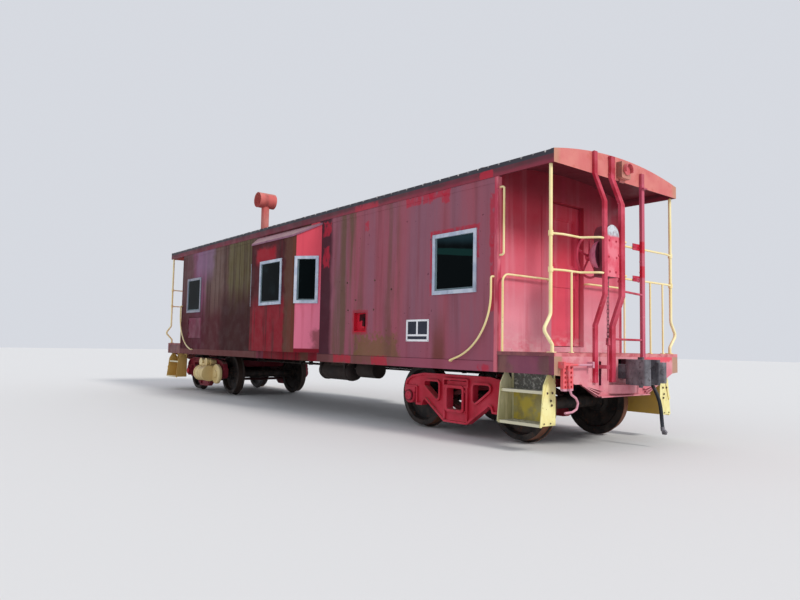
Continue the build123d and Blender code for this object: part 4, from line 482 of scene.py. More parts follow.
def step_paint(name):
    """Steps: cream stringers, worn grey treads, a speckled grey riser, and painted shade: olive on the backs
    inside, ochre on the inward faces and on the far steps.
    """
    s = Surface(name)
    cream = s.mix(s.span(s.noise(9, 5), 0.4, 0.65), srgb(240, 232, 168), srgb(234, 222, 152))
    cream = s.mix(s.times(s.streaks(0.55, 0.7, 14, 0.2), 0.5), cream, srgb(206, 186, 122))
    inner = s.mix(s.streaks(0.42, 0.6, 8, 0.2), srgb(222, 214, 174), srgb(184, 178, 136))
    yellow = s.span(s.noise(4, 3, shift=1.0), 0.48, 0.6)
    # painted shade: olive, the steps' yellow as it looks in shade on the backs
    olive = s.mix(s.streaks(0.4, 0.62, 7, 0.3, 2.0), srgb(172, 162, 108), srgb(150, 138, 84))
    olive = s.mix(s.times(yellow, 0.75), olive, srgb(200, 178, 58))
    along = s.absolute(s.x)
    out = s.absolute(s.y)
    grey = s.mix(s.span(s.noise(30, 5, shift=3.0), 0.5, 0.72), srgb(104, 102, 96), srgb(196, 194, 184))
    base = s.mix(s.span(along, STEP_OUTER_X, STEP_OUTER_X + 0.007), inner, cream)
    facing = s.span(s.absolute(s.ny), 0.6, 0.7)
    middle = s.between(along, STEP_INNER_X, STEP_OUTER_X, 0.004)
    backs = s.times(facing, middle)
    base = s.mix(backs, base, olive)
    base = s.mix(s.times(backs, s.span(s.z, 0.655, 0.665)), base, grey)
    treads = s.times(s.span(s.absolute(s.nz), 0.6, 0.7), middle)
    worn = s.mix(s.span(s.noise(20, 4), 0.45, 0.6), srgb(150, 148, 136), srgb(206, 204, 190))
    base = s.mix(treads, base, worn)
    # painted shade: ochre on the faces turned inward and on the far steps
    inward = s.span(s.times(s.ny, s.math("SIGN", s.y)), -0.7, -0.6, 1.0, 0.0)
    ochre_shade = s.math("MAXIMUM", inward, s.span(s.x, -0.1, 0.1, 1.0, 0.0))
    base = s.mix(s.times(ochre_shade, 0.85), base, srgb(204, 162, 80))
    edges = s.times(facing, middle, s.span(out, 1.15, 1.2))
    base = s.mix(edges, base, srgb(214, 208, 180))
    s.color(s.specks(base, 0.6, (120, 66, 40), 30, 0.68, 0.72))
    return s.skin(0.5)


def wheel_paint(name, axle_x):
    """Wheels: black oily faces, a rust-brown tread that is darker at the far end with painted shade, and red
    axle ends.
    """
    s = Surface(name)
    along = s.math("POWER", s.math("SUBTRACT", s.x, axle_x), 2.0)
    upright = s.math("POWER", s.math("SUBTRACT", s.z, AXLE_Z), 2.0)
    radius = s.math("SQRT", s.math("ADD", along, upright))
    face = s.mix(s.span(s.noise(9, 5), 0.4, 0.62), srgb(34, 31, 31), srgb(58, 50, 46))
    face = s.mix(s.times(s.span(s.noise(24, 5, shift=2.0), 0.58, 0.68), 0.6), face, srgb(96, 58, 40))
    # rust on the treads; at the far wheelsets the same rust darkened by painted shade
    rim_rust_and_shade = (srgb(120, 72, 48), srgb(86, 56, 44)) if axle_x > 0 else (srgb(64, 46, 38), srgb(46, 36, 32))
    rim = s.mix(s.noise(18, 4), *rim_rust_and_shade)
    sideways = s.span(s.absolute(s.ny), 0.5, 0.7)
    tread = s.times(s.span(radius, 0.395, 0.41), s.math("SUBTRACT", 1.0, sideways))
    base = s.mix(tread, face, rim)
    cap = s.times(s.span(radius, 0.1, 0.11, 1.0, 0.0), s.span(s.absolute(s.y), 1.0, 1.02))
    base = s.mix(cap, base, srgb(120, 30, 44))
    s.color(base)
    return s.skin(0.6, 0.001)


POST_RED_ZS = ((2.0, 2.12), (2.3, 2.42))


def post_paint(name):
    """End posts: crimson jogged posts, and a pinker straight post that is red where rails join it."""
    s = Surface(name)
    bent = s.mix(s.span(s.noise(4, 5), 0.4, 0.62), srgb(176, 34, 58), srgb(200, 72, 94))
    straight = s.mix(s.streaks(0.4, 0.6, 9, 0.1), srgb(196, 92, 112), srgb(176, 66, 96))
    is_straight = s.span(s.times(s.y, s.math("SIGN", s.x)), 0.3, 0.34)
    base = s.mix(is_straight, bent, straight)
    for low, high in POST_RED_ZS:
        base = s.mix(s.times(is_straight, s.between(s.z, low, high), 0.9), base, srgb(196, 26, 52))
    top = s.span(s.z, 3.12, 3.16, 0.0, 0.35)
    base = s.mix(top, base, srgb(150, 52, 52))
    s.color(s.specks(base, 0.5, (226, 150, 156), 26, 0.66, 0.72))
    return s.skin(0.42, 0.001)


def housing_paint(name):
    """The hand brake's housing: pink, worn pale high on its face, with painted shade on its sides."""
    s = Surface(name)
    base = s.mix(s.span(s.noise(6, 5), 0.4, 0.6), srgb(218, 84, 104), srgb(228, 122, 136))
    pale = s.mix(s.span(s.noise(12, 5), 0.4, 0.6), srgb(206, 212, 218), srgb(166, 160, 168))
    high = s.ragged(s.z, 0.05)
    face = s.span(s.nx, 0.5, 0.8)
    base = s.mix(s.times(s.span(high, 2.37, 2.41), face), base, pale)
    # painted shade on every face that does not face along the car
    shade = s.span(s.absolute(s.nx), 0.5, 0.8, 0.9, 0.0)
    base = s.mix(shade, base, srgb(84, 26, 40))
    s.color(s.specks(base, 0.7, (150, 30, 48), 30))
    return s.skin(0.45, 0.001)


def brake_wheel_paint(name):
    """The hand brake's crimson wheel and its pink bell, with painted shade on its face towards the end of the
    car.
    """
    s = Surface(name)
    rim = s.mix(s.noise(9, 4), srgb(178, 34, 62), srgb(206, 76, 100))
    bell = s.mix(s.span(s.noise(7, 5), 0.4, 0.6), srgb(186, 92, 126), srgb(206, 122, 146))
    # painted shade on the bell's face towards the end of the car
    bell = s.mix(s.times(s.span(s.nx, 0.5, 0.8), 0.9), bell, srgb(70, 20, 36))
    s.color(s.mix(s.span(s.x, 5.613, 5.62), rim, bell))
    return s.skin(0.4, 0.001)


LENS_X = 5.825


def lamp_paint(name):
    """Marker lamps: dusty salmon boxes with pink lenses, and painted shade on the boxes' sides."""
    s = Surface(name)
    out = s.absolute(s.x)
    box = s.mix(s.span(s.noise(8, 4), 0.4, 0.6), srgb(206, 116, 112), srgb(190, 128, 112))
    # painted shade: brown-grey on the sides of the boxes
    box = s.mix(s.span(s.absolute(s.ny), 0.6, 0.8, 0.0, 0.7), box, srgb(126, 92, 82))
    lens = s.mix(s.noise(12, 3), srgb(196, 84, 92), srgb(214, 112, 116))
    s.color(s.mix(s.span(out, LENS_X - 0.003, LENS_X + 0.003), box, lens))
    return s.skin(0.35, 0.001)


def lever_paint(name):
    """Uncoupling levers: pale pink rods, redder at their outer ends."""
    s = Surface(name)
    handle = s.mix(s.noise(12, 4), srgb(196, 132, 152), srgb(214, 156, 168))
    plate = s.mix(s.span(s.noise(14, 5), 0.45, 0.6), srgb(228, 96, 102), srgb(216, 108, 116))
    far = s.times(s.span(s.absolute(s.y), 0.9, 0.95), s.span(s.z, 0.69, 0.7))
    s.color(s.specks(s.mix(far, handle, plate), 0.4))
    return s.skin(0.45, 0.001)


def rod_paint(name):
    """Brake rods: black below the floor, pink where the hand brake's rod passes the end sill."""
    s = Surface(name)
    low = s.mix(s.noise(12, 5), srgb(38, 32, 31), srgb(66, 52, 46))
    high = s.mix(s.noise(14, 5), srgb(206, 92, 110), srgb(176, 60, 82))
    s.color(s.specks(s.mix(s.span(s.x, 5.4, 5.5), low, high), 0.5))
    return s.skin(0.5, 0.0006)


def coupler_paint(name):
    """Couplers and glad hands: rough grey castings with dark stains."""
    s = Surface(name)
    base = s.mix(s.span(s.noise(6, 6), 0.38, 0.62), srgb(88, 86, 92), srgb(122, 120, 126))
    base = s.mix(s.times(s.span(s.noise(22, 5, shift=2.0), 0.56, 0.68), 0.6), base, srgb(52, 44, 44))
    s.color(base)
    s.roughness(s.span(s.noise(9, 4), 0.3, 0.7, 0.45, 0.7))
    under = s.bump(s.noise(14, 3), 0.003)
    s.bump(s.noise(90, 5), 0.0015, 1.0, under)
    return s.material


def frame_paint(name):
    """Window frames: pale blue aluminium with grey runs, darker towards the rear."""
    s = Surface(name)
    base = s.mix(s.span(s.noise(6, 5), 0.4, 0.6), srgb(176, 188, 208), srgb(200, 208, 222))
    base = s.mix(s.times(s.streaks(0.52, 0.7, 12, 0.2), 0.4), base, srgb(120, 128, 146))
    base = s.mix(s.span(s.x, -3.2, -3.0, 0.6, 0.0), base, srgb(104, 92, 104))
    s.color(base)
    return s.skin(0.42, 0.0006)


def glass_look(name):
    """Dark panes with a little dust, and a painted reflection: a slanting band of teal high up and paler
    blue-grey above it.
    """
    s = Surface(name)
    dust = s.span(s.noise(2.6, 5), 0.5, 0.72, 0.0, 0.25)
    base = s.mix(dust, srgb(6, 12, 14), srgb(36, 52, 56))
    # painted reflection: a slanting teal band, and paler blue-grey higher up
    reflection_height = s.math("ADD", s.z, s.times(s.x, 0.12))
    band = s.between(s.ragged(reflection_height, 0.03, 3), 2.76, 2.83, 0.012)
    base = s.mix(s.times(band, 0.7), base, srgb(22, 58, 54))
    high = s.span(reflection_height, 2.86, 3.0, 0.0, 0.6)
    base = s.mix(high, base, srgb(44, 70, 78))
    s.color(base)
    s.roughness(s.span(s.noise(7, 5), 0.4, 0.7, 0.05, 0.2))
    s.shine(GLASS_SHINE)
    s.shader.inputs["IOR"].default_value = GLASS_IOR
    s.bump(s.noise(1.3, 2), 0.0015, 0.4)
    return s.material


# plain paints: name, colour, faded colour, dark runs, then the strength of the runs and of the rust,
# the roughness, and how far the sheet is buckled, in metres
PAINTS = {
    "bay_roof": ("bay_roof_paint", (136, 88, 112), (154, 108, 128), (100, 60, 76), 0.4),
    "truck": ("truck_paint", (186, 32, 54), (206, 60, 80), (112, 22, 34), 0.4, 0.35),
    # the far truck: the truck's crimson darkened into painted shade
    "rear_truck": ("truck_painted_shade", (118, 24, 40), (142, 44, 58), (58, 18, 26), 0.5, 0.35),
    # the inner sashes: dark teal that is partly the aluminium and partly painted shade of the window reveal
    "sash": ("sash_aluminium_and_shade", (88, 108, 116), (116, 132, 138), (60, 74, 82), 0.4, 0.1, 0.4, 0.0003),
    "spring": ("spring_steel", (70, 30, 34), (96, 44, 46), (36, 24, 24), 0.5, 0.4, 0.6),
    "cream": ("cream_paint", (244, 222, 156), (250, 236, 184), (206, 168, 110), 0.35, 0.5, 0.42, 0.0006),
    "tan": ("generator_paint", (216, 190, 132), (232, 212, 160), (140, 104, 66), 0.5, 0.5, 0.55),
    "black": ("black_paint", (40, 34, 33), (60, 50, 46), (24, 20, 18), 0.3, 0.4, 0.75),
    "chain": ("chain_steel", (128, 66, 78), (186, 132, 140), (62, 30, 40), 0.5, 0.5, 0.5, 0.0004),
    "stack": ("stack_paint", (204, 96, 92), (222, 136, 128), (116, 66, 62), 0.5, 0.4, 0.65),
    "rubber": ("hose_rubber", (40, 44, 50), (66, 72, 80), (26, 28, 32), 0.4, 0.1, 0.55, 0.0004),
    "locker": ("locker_paint", (108, 32, 58), (126, 48, 76), (72, 30, 38), 0.6, 0.3),
    "plate": ("plate_white", (232, 232, 238), (246, 246, 250), (190, 184, 194), 0.2, 0.1, 0.4, 0.0003),
    "rivet": ("rivet_paint", (150, 148, 150), (196, 192, 190), (92, 88, 90), 0.2, 0.2, 0.4, 0.0003),
    "dark_bolt": ("bolt_steel", (70, 52, 46), (104, 74, 62), (40, 28, 26), 0.3, 0.4, 0.5, 0.0003),
    "panel": ("plate_dark", (22, 26, 44), (36, 40, 58), (16, 18, 30), 0.2, 0.05, 0.35, 0.0003),
}

# which look each node of the frame wears, apart from the wheelsets and the air hoses
WORN_BY = {
    "right": ("right_side_wall",),
    "left": ("left_side_wall",),
    "bay": ("left_bay", "right_bay", "bay_portals"),
    "bay_roof": ("bay_roofs",),
    "end": ("front_end_wall", "rear_end_wall"),
    "door": ("front_door", "rear_door", "front_door_glass", "rear_door_glass"),
    "roof": ("roof",),
    "end_sill": ("end_sills",),
    "sill": ("side_sills",),
    "deck": ("deck",),
    "step": ("steps",),
    "post": ("front_end_posts", "rear_end_posts"),
    "housing": ("brake_housing",),
    "brake_wheel": ("brake_wheel",),
    "lamp": ("marker_lamps",),
    "lever": ("uncoupling_levers",),
    "coupler": ("couplers", "coupler_knuckles", "front_glad_hand", "rear_glad_hand"),
    "frame": ("window_frames",),
    "glass": ("window_glass",),
    "truck": ("front_truck_side_frames", "front_truck_bearings", "front_truck_bolster"),
    # the far truck wears the truck paint with painted shade
    "rear_truck": ("rear_truck_side_frames", "rear_truck_bearings", "rear_truck_bolster"),
    "spring": ("front_truck_springs", "rear_truck_springs"),
    "cream": ("end_railings", "end_wall_handrails", "side_grab_irons"),
    "tan": ("axle_generator",),
    "black": (
        "underframe",
        "cross_bearers",
        "body_bolsters",
        "bay_floors",
        "brake_pipe",
        "air_reservoir",
        "brake_cylinder",
        "front_truck_brake_beams",
        "rear_truck_brake_beams",
    ),
    "chain": ("brake_chain",),
    "rods": ("brake_rods",),
    "stack": ("smoke_stack",),
    "locker": ("locker_door",),
}


def make_looks():
    """Every material apart from the wheels', by a short name."""
    made = {
        "right": side_paint("side_paint_right", True),
        "left": side_paint("side_paint_left", False),
        "bay": bay_paint("bay_paint"),
        "end": end_paint("end_paint"),
        "door": end_paint("door_paint", True),
        "roof": roof_paint("roof_paint"),
        "end_sill": end_sill_paint("end_sill_paint"),
        "sill": sill_paint("sill_paint"),
        "deck": deck_paint("deck_paint"),
        "step": step_paint("step_paint"),
        "post": post_paint("post_paint"),
        "housing": housing_paint("housing_paint"),
        "brake_wheel": brake_wheel_paint("brake_wheel_paint"),
        "lamp": lamp_paint("lamp_paint"),
        "lever": lever_paint("lever_paint"),
        "coupler": coupler_paint("coupler_iron"),
        "frame": frame_paint("window_aluminium"),
        "glass": glass_look("dark_glass"),
        "rods": rod_paint("rod_paint"),
    }
    for look, values in PAINTS.items():
        made[look] = paint(*values)
    return made


def dress(name, material):
    """Give a node of the frame its one material."""
    nodes[name].data.materials.clear()
    nodes[name].data.materials.append(material)


looks = make_looks()
for look, names in WORN_BY.items():
    for name in names:
        dress(name, looks[look])
for number, axle_x in enumerate(AXLE_XS, 1):
    dress(f"wheelset_{number}", wheel_paint(f"wheel_steel_{number}", axle_x))


# air hoses: one smooth curve each, from the angle cock down to the glad hand
HOSE_DIAMETER = 0.042
HOSE_EXIT = Vector((5.947, 0.33, RAIL + 0.6478))
HOSE_ROUTE = (
    (0, 0, 0),
    (0.030, 0, -0.0522),
    (0.058, 0.002, -0.122),
    (0.076, 0.004, -0.200),
    (0.086, 0.005, -0.282),
    (0.090, 0.006, -0.362),
    (0.098, 0.006, -0.435),
)


def add_hose(end_name, end):
    data = bpy.data.curves.new(f"{end_name}_hose", "CURVE")
    data.dimensions = "3D"
    data.bevel_depth = HOSE_DIAMETER / 2
    data.bevel_resolution = 6
    data.resolution_u = 10
    data.use_fill_caps = True
    spline = data.splines.new("NURBS")
    spline.points.add(len(HOSE_ROUTE) - 1)
    for point, offset in zip(spline.points, HOSE_ROUTE):
        point.co = (
            end * (HOSE_EXIT.x + offset[0]),
            end * (HOSE_EXIT.y + offset[1]),
            HOSE_EXIT.z + offset[2],
            1,
        )
    spline.order_u = 3
    spline.use_endpoint_u = True
    hose = add_object(f"{end_name}_hose", data)
    hose.data.materials.append(looks["rubber"])
    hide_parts(f"{end_name}_air_hose")
    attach(hose, "caboose_body")


add_hose("front", 1)
add_hose("rear", -1)


# the angle above which the edges of an added piece are drawn sharp
SHARP_EDGE = math.radians(38)

# how far a bolt or a plate is let into what carries it, in metres
SEAT = 0.0005

# the two ends of the car, or its two sides
BOTH = (1, -1)


# small tools for modelled details
def add_piece(name, builder, look, body="caboose_body", smooth=True):
    """A new mesh piece from a bmesh, with its finish and the body that it rides on."""
    mesh = bpy.data.meshes.new(name)
    builder.to_mesh(mesh)
    builder.free()
    if smooth:
        mesh.polygons.foreach_set("use_smooth", [True] * len(mesh.polygons))
    piece = add_object(name, mesh)
    mesh.materials.append(looks[look])
    if smooth:
        mesh.set_sharp_from_angle(angle=SHARP_EDGE)
    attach(piece, body)


def turned(builder, place, axis, profile, sides, spin=0.0):
    """A turned shape along an axis, from (distance along, radius) pairs, closed at its far end."""
    axis = Vector(axis).normalized()
    helper = Vector((0, 0, 1)) if abs(axis.z) < 0.9 else Vector((1, 0, 0))
    first = axis.cross(helper).normalized()
    second = axis.cross(first)
    rings = []
    for along, radius in profile:
        ring = []
        for step in range(sides):
            angle = spin + math.tau * step / sides
            offset = math.cos(angle) * first + math.sin(angle) * second
            ring.append(builder.verts.new(Vector(place) + axis * along + offset * radius))
        rings.append(ring)
    for low, high in zip(rings, rings[1:]):
        for step in range(sides):
            after = (step + 1) % sides
            builder.faces.new((low[step], low[after], high[after], high[step]))
    builder.faces.new(rings[-1])


def rivet(builder, place, axis, size):
    """A low dome of the given radius."""
    dome = ((0.0, size), (size * 0.45, size * 0.86), (size * 0.78, size * 0.5), (size * 0.88, size * 0.14))
    turned(builder, place, axis, dome, 8)


def bolt(builder, place, axis, size):
    """A washer with a six-sided head and the stub of its thread."""
    washer = ((0, size * 1.5), (size * 0.22, size * 1.5), (size * 0.26, size * 1.3))
    head = ((size * 0.2, size), (size * 0.85, size), (size * 0.95, size * 0.8))
    stub = ((size * 0.9, size * 0.45), (size * 1.2, size * 0.42))
    turned(builder, place, axis, washer, 12)
    turned(builder, place, axis, head, 6, random.random())
    turned(builder, place, axis, stub, 8)


def block(builder, low, high, ease):
    """A flat plate or block with eased edges."""
    made = bmesh.ops.create_cube(builder, size=1.0)
    centre = [(a + b) / 2 for a, b in zip(low, high)]
    size = [b - a for a, b in zip(low, high)]
    for vert in made["verts"]:
        vert.co = Vector(middle + part * whole for middle, part, whole in zip(centre, vert.co, size))
    edges = {edge for vert in made["verts"] for edge in vert.link_edges}
    bmesh.ops.bevel(builder, geom=list(edges), offset=ease, segments=2, affect="EDGES")


def block_at_end(builder, end, x_range, y_range, z_range, ease):
    """A block at the front end, where end is 1, or its twin half a turn round, where end is -1."""
    xs = sorted(end * x for x in x_range)
    ys = sorted(end * y for y in y_range)
    block(builder, (xs[0], ys[0], z_range[0]), (xs[1], ys[1], z_range[1]), ease)


def seen(u, v):
    """The point of the object, and its facing, that the photograph shows at a pixel."""
    turn = bpy.context.scene.camera.matrix_world.to_3x3()
    spread = SENSOR_MM / LENS_MM / PHOTO_WIDTH
    toward = turn @ Vector(((u - PHOTO_WIDTH / 2) * spread, (PHOTO_HEIGHT / 2 - v) * spread, -1))
    graph = bpy.context.evaluated_depsgraph_get()
    hit, place, normal, _, _, _ = bpy.context.scene.ray_cast(graph, CAMERA_PLACE, toward.normalized())
    return (place, normal) if hit else (None, None)


def add_bolts_seen(name, pixels, look, size, belongs):
    """Bolts at pixels of the photograph, each seated where it shows, if it belongs there."""
    bolts = bmesh.new()
    for u, v in pixels:
        place, normal = seen(u, v)
        if place is not None and belongs(place):
            bolt(bolts, place - normal * SEAT, normal, size)
    add_piece(name, bolts, look)


# roof: a row of rivets along each edge, every other one larger
ROOF_EDGE_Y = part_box("roof")[1][1]
ROOF_RIVET_Z = RAIL + 3.211
ROOF_RIVET_START_X = -5.63
ROOF_RIVET_PITCH = 0.168
ROOF_RIVETS = 68


def add_roof_rivets():
    rivets = bmesh.new()
    for side in BOTH:
        for number in range(ROOF_RIVETS):
            x = ROOF_RIVET_START_X + ROOF_RIVET_PITCH * number
            size = 0.013 if number % 2 else 0.008
            rivet(rivets, (x, side * (ROOF_EDGE_Y - SEAT), ROOF_RIVET_Z), (0, side, 0), size)
    add_piece("roof_edge_rivets", rivets, "rivet")


# steps: bolts on their end faces, as distance from the car's middle, height and size
STEP_FACE_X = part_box("steps")[1][0]
STEP_BOLTS = (
    (1.211, 0.642, 0.009),
    (1.126, 0.642, 0.009),
    (1.151, 0.560, 0.009),
    (1.136, 0.512, 0.009),
    (1.262, 0.322, 0.006),
    (1.156, 0.322, 0.006),
)


def add_step_bolts():
    bolts = bmesh.new()
    for end in BOTH:
        for side in BOTH:
            for y, z, size in STEP_BOLTS:
                bolt(bolts, (end * (STEP_FACE_X - SEAT), side * y, z), (end, 0, 0), size)
    add_piece("step_bolts", bolts, "dark_bolt")


# bolts on the end posts and on the side, at pixels of the photograph
POST_BOLT_PIXELS = (
    (609.3, 157.2),
    (609.3, 173.8),
    (618.8, 255.4),
    (618.8, 281.6),
    (638.6, 245.2),
    (638.6, 249.1),
    (638.6, 277.1),
    (638.6, 281.6),
    (640.5, 261.8),
    (640.5, 272.6),
)
SIDE_BOLT_PIXELS = (
    (374.8, 280.3),
    (373.6, 309.6),
    (347.4, 282.9),
    (348.0, 310.3),
    (355.7, 300.1),
    (391.4, 289.2),
)
POSTS_FROM_X = 5.4
SIDE_FROM_Y = -1.2


def add_post_bolts():
    add_bolts_seen("post_bolts", POST_BOLT_PIXELS, "post", 0.011, lambda place: place.x > POSTS_FROM_X)


def add_side_bolts():
    add_bolts_seen("side_bolts", SIDE_BOLT_PIXELS, "dark_bolt", 0.010, lambda place: place.y < SIDE_FROM_Y)


# hand brake: bolts on the housing's face, as y and z, and the bell, as distance inwards and radius
HOUSING_FACE_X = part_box("brake_housing")[1][0]
HOUSING_BOLTS = (
    (-0.462, 2.335),
    (-0.330, 2.335),
    (-0.470, 2.150),
    (-0.322, 2.150),
    (-0.455, 1.985),
    (-0.336, 1.985),
)
BELL_PLACE = (5.790, -0.3965, 2.178)
BELL_PROFILE = (
    (0, 0.100),
    (0, 0.194),
    (0.005, 0.200),
    (0.040, 0.196),
    (0.074, 0.180),
    (0.106, 0.156),
    (0.134, 0.126),
    (0.156, 0.094),
    (0.170, 0.064),
    (0.1785, 0.04),
)


def add_housing_bolts():
    bolts = bmesh.new()
    for y, z in HOUSING_BOLTS:
        bolt(bolts, (HOUSING_FACE_X - SEAT, y, z), (1, 0, 0), 0.010)
    add_piece("housing_bolts", bolts, "post")


def add_gear_bell():
    bell = bmesh.new()
    turned(bell, BELL_PLACE, (-1, 0, 0), BELL_PROFILE, 48)
    add_piece("gear_bell", bell, "brake_wheel")


# trucks: a cap with three bolts on each axle end, and bolts on the side frames' columns
CAP_Y = 1.070
CAP_PROFILE = ((0, 0.058), (0.004, 0.058), (0.006, 0.052))
CAP_BOLT_Y = 1.075
CAP_BOLT_CIRCLE = 0.033
CAP_BOLTS = 3
TRUCK_X = 4.020
COLUMN_X = 0.186
COLUMN_FACE_Y = 1.030
COLUMN_BOLT_ZS = (0.30, 0.56)


def add_axle_caps(number, axle_x):
    caps = bmesh.new()
    for side in BOTH:
        turned(caps, (axle_x, side * CAP_Y, AXLE_Z), (0, side, 0), CAP_PROFILE, 24)
        for step in range(CAP_BOLTS):
            angle = math.radians(90 + 360 / CAP_BOLTS * step)
            x = axle_x + CAP_BOLT_CIRCLE * math.cos(angle)
            z = AXLE_Z + CAP_BOLT_CIRCLE * math.sin(angle)
            bolt(caps, (x, side * CAP_BOLT_Y, z), (0, side, 0), 0.0095)
    add_piece(f"axle_cap_{number}", caps, "truck", f"wheelset_{number}")


def add_column_bolts(end_name, end, look):
    bolts = bmesh.new()
    for side in BOTH:
        for hand in BOTH:
            for z in COLUMN_BOLT_ZS:
                x = end * TRUCK_X + hand * COLUMN_X
                bolt(bolts, (x, side * (COLUMN_FACE_Y - SEAT), z), (0, side, 0), 0.014)
    add_piece(f"{end_name}_column_bolts", bolts, look, f"{end_name}_truck")


# notice plate: blank, with three dark fields and a screw at each corner, on the photographed side
NOTICE_X = (3.306, 3.764)
NOTICE_Z = (1.175, 1.462)
NOTICE_FACE_Y = -1.2635
NOTICE_BACK_Y = -1.2598
NOTICE_FIELDS = (
    ((3.345, 3.516), (1.268, 1.437)),
    ((3.549, 3.733), (1.268, 1.437)),
    ((3.340, 3.726), (1.203, 1.243)),
)
NOTICE_FIELD_RISE = 0.001
NOTICE_SCREW_XS = (3.320, 3.750)
NOTICE_SCREW_ZS = (1.188, 1.449)
NOTICE_SCREW_Y = -1.2633


def add_notice():
    plate = bmesh.new()
    block(plate, (NOTICE_X[0], NOTICE_FACE_Y, NOTICE_Z[0]), (NOTICE_X[1], NOTICE_BACK_Y, NOTICE_Z[1]), 0.0015)
    add_piece("notice_plate", plate, "plate", smooth=False)
    fields = bmesh.new()
    for xs, zs in NOTICE_FIELDS:
        low = (xs[0], NOTICE_FACE_Y - NOTICE_FIELD_RISE, zs[0])
        high = (xs[1], NOTICE_FACE_Y + SEAT, zs[1])
        block(fields, low, high, 0.0005)
    add_piece("notice_panels", fields, "panel", smooth=False)
    screws = bmesh.new()
    for x in NOTICE_SCREW_XS:
        for z in NOTICE_SCREW_ZS:
            rivet(screws, (x, NOTICE_SCREW_Y, z), (0, -1, 0), 0.005)
    add_piece("notice_screws", screws, "dark_bolt")


# end walls: an upright lap seam on each
END_WALL_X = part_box("front_end_wall")[1][0]
END_SEAM_Y = (-0.4745, -0.4600)
END_SEAM_Z = (1.100, 3.000)
END_SEAM_RISE = 0.004


def add_end_seams():
    seams = bmesh.new()
    for end in BOTH:
        x_range = (END_WALL_X - SEAT, END_WALL_X + END_SEAM_RISE)
        block_at_end(seams, end, x_range, END_SEAM_Y, END_SEAM_Z, 0.0015)
    add_piece("end_wall_seams", seams, "end", smooth=False)


# windows: a slim inner sash on each pane, wider at its rear and bottom edges, where it also stands in as
# painted shade of the reveal
SASH_EDGE = 0.030
SASH_REAR_EDGE = 0.052
SASH_BOTTOM_EDGE = 0.046
SASH_RISE = 0.006
SASH_SEAT = 0.001


def panes(name):
    """The centre, outward facing and points of each separate pane of a glass node."""
    work = bmesh.new()
    work.from_mesh(nodes[name].data)
    work.transform(nodes[name].matrix_world)
    bmesh.ops.remove_doubles(work, verts=work.verts, dist=0.0001)
    waiting = set(work.verts)
    found = []
    for seed in list(work.verts):
        if seed not in waiting:
            continue
        group = [seed]
        waiting.remove(seed)
        for vert in group:
            for edge in vert.link_edges:
                other = edge.other_vert(vert)
                if other in waiting:
                    waiting.remove(other)
                    group.append(other)
        faces = {face for vert in group for face in vert.link_faces}
        outward = [face for face in faces if face.normal.y * face.calc_center_median().y > 0]
        widest = max(outward, key=lambda face: face.calc_area())
        points = [vert.co.copy() for vert in group]
        low = [min(point[axis] for point in points) for axis in range(3)]
        high = [max(point[axis] for point in points) for axis in range(3)]
        found.append(((Vector(low) + Vector(high)) / 2, widest.normal.copy(), points))
    work.free()
    return found


def add_sashes():
    sashes = bmesh.new()
    up = Vector((0, 0, 1))
    for centre, normal, points in panes("window_glass"):
        ahead = up.cross(normal).normalized()
        if ahead.x < 0:
            ahead = -ahead
        tall = max((point - centre).dot(up) for point in points)
        wide = max((point - centre).dot(ahead) for point in points)
        out = max((point - centre).dot(normal) for point in points)
        behind = -wide + SASH_REAR_EDGE
        before = wide - SASH_EDGE
        for low_ahead, high_ahead, low_up, high_up in (
            (-wide, behind, -tall, tall),
            (before, wide, -tall, tall),
            (behind, before, -tall, -tall + SASH_BOTTOM_EDGE),
            (behind, before, tall - SASH_EDGE, tall),
        ):
            made = bmesh.ops.create_cube(sashes, size=1.0)
            for vert in made["verts"]:
                ahead_by = low_ahead if vert.co.x < 0 else high_ahead
                up_by = low_up if vert.co.y < 0 else high_up
                out_by = out - SASH_SEAT if vert.co.z < 0 else out + SASH_RISE
                vert.co = centre + ahead * ahead_by + up * up_by + normal * out_by
    add_piece("window_sashes", sashes, "sash", smooth=False)


# end posts: bracket plates that hold the end rails to the straight posts
POST_BACK_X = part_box("front_end_posts")[0][0]
BRACKET_DEPTH = 0.0085
BRACKET_Y = (0.240, 0.430)
BRACKET_ZS = ((RAIL + 2.290, RAIL + 2.370), (RAIL + 1.910, RAIL + 1.980))
BRACKET_BOLT_YS = (0.262, 0.356)


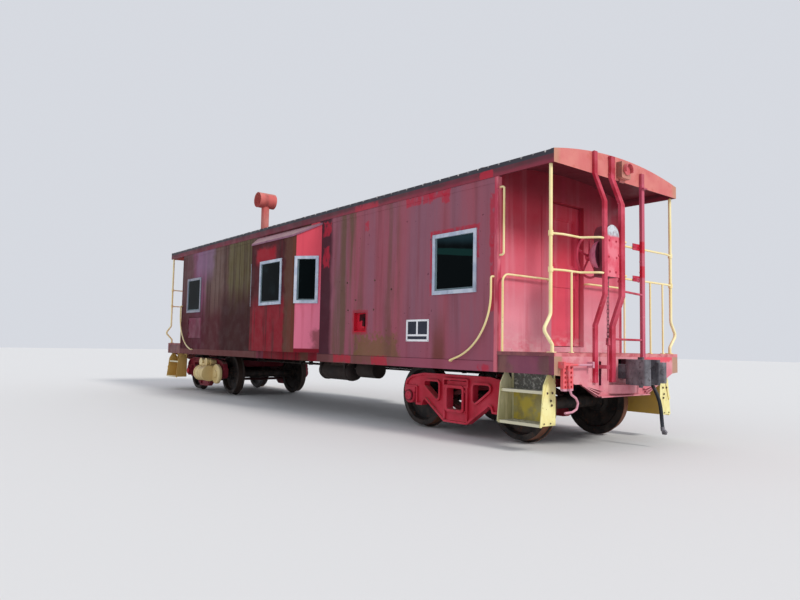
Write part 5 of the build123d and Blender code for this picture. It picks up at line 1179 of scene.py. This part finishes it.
def add_brackets():
    plates = bmesh.new()
    for end in BOTH:
        for z_range in BRACKET_ZS:
            x_range = (POST_BACK_X - BRACKET_DEPTH, POST_BACK_X + SEAT)
            block_at_end(plates, end, x_range, BRACKET_Y, z_range, 0.0015)
            for y in BRACKET_BOLT_YS:
                bolt(plates, (end * POST_BACK_X, end * y, sum(z_range) / 2), (end, 0, 0), 0.010)
    add_piece("post_brackets", plates, "post")


add_roof_rivets()
add_step_bolts()
add_post_bolts()
add_housing_bolts()
add_gear_bell()
add_side_bolts()
for number, axle_x in enumerate(AXLE_XS, 1):
    add_axle_caps(number, axle_x)
add_column_bolts("front", 1, "truck")
# the far truck's bolts wear its painted shade
add_column_bolts("rear", -1, "rear_truck")
add_notice()
add_end_seams()
add_sashes()
add_brackets()


# studio: a plain pale floor and soft light
FLOOR_SIZE = 160
SKY_STRENGTH = 0.75
SUN_STRENGTH = 1.9
SUN_SPREAD = math.radians(12)
SUN_FROM = Vector((0.75, 0.1, 0.62))


def add_floor():
    bpy.ops.mesh.primitive_plane_add(size=FLOOR_SIZE, location=(0, 0, 0))
    floor = bpy.context.object
    floor.name = "floor"
    ground = bpy.data.materials.new("floor_grey")
    ground.use_nodes = True
    shader = ground.node_tree.nodes["Principled BSDF"]
    shader.inputs["Base Color"].default_value = (0.72, 0.72, 0.72, 1)
    shader.inputs["Roughness"].default_value = 0.9
    floor.data.materials.append(ground)


def add_light():
    world = bpy.data.worlds.new("studio")
    world.use_nodes = True
    sky = world.node_tree.nodes["Background"]
    sky.inputs["Color"].default_value = (0.9, 0.93, 1.0, 1)
    sky.inputs["Strength"].default_value = SKY_STRENGTH
    bpy.context.scene.world = world
    data = bpy.data.lights.new("key", "SUN")
    data.energy = SUN_STRENGTH
    data.angle = SUN_SPREAD
    data.color = (1.0, 0.97, 0.92)
    key = add_object("key", data)
    key.rotation_euler = SUN_FROM.to_track_quat("Z", "Y").to_euler()


add_floor()
add_light()
bpy.context.scene.view_settings.view_transform = "Standard"
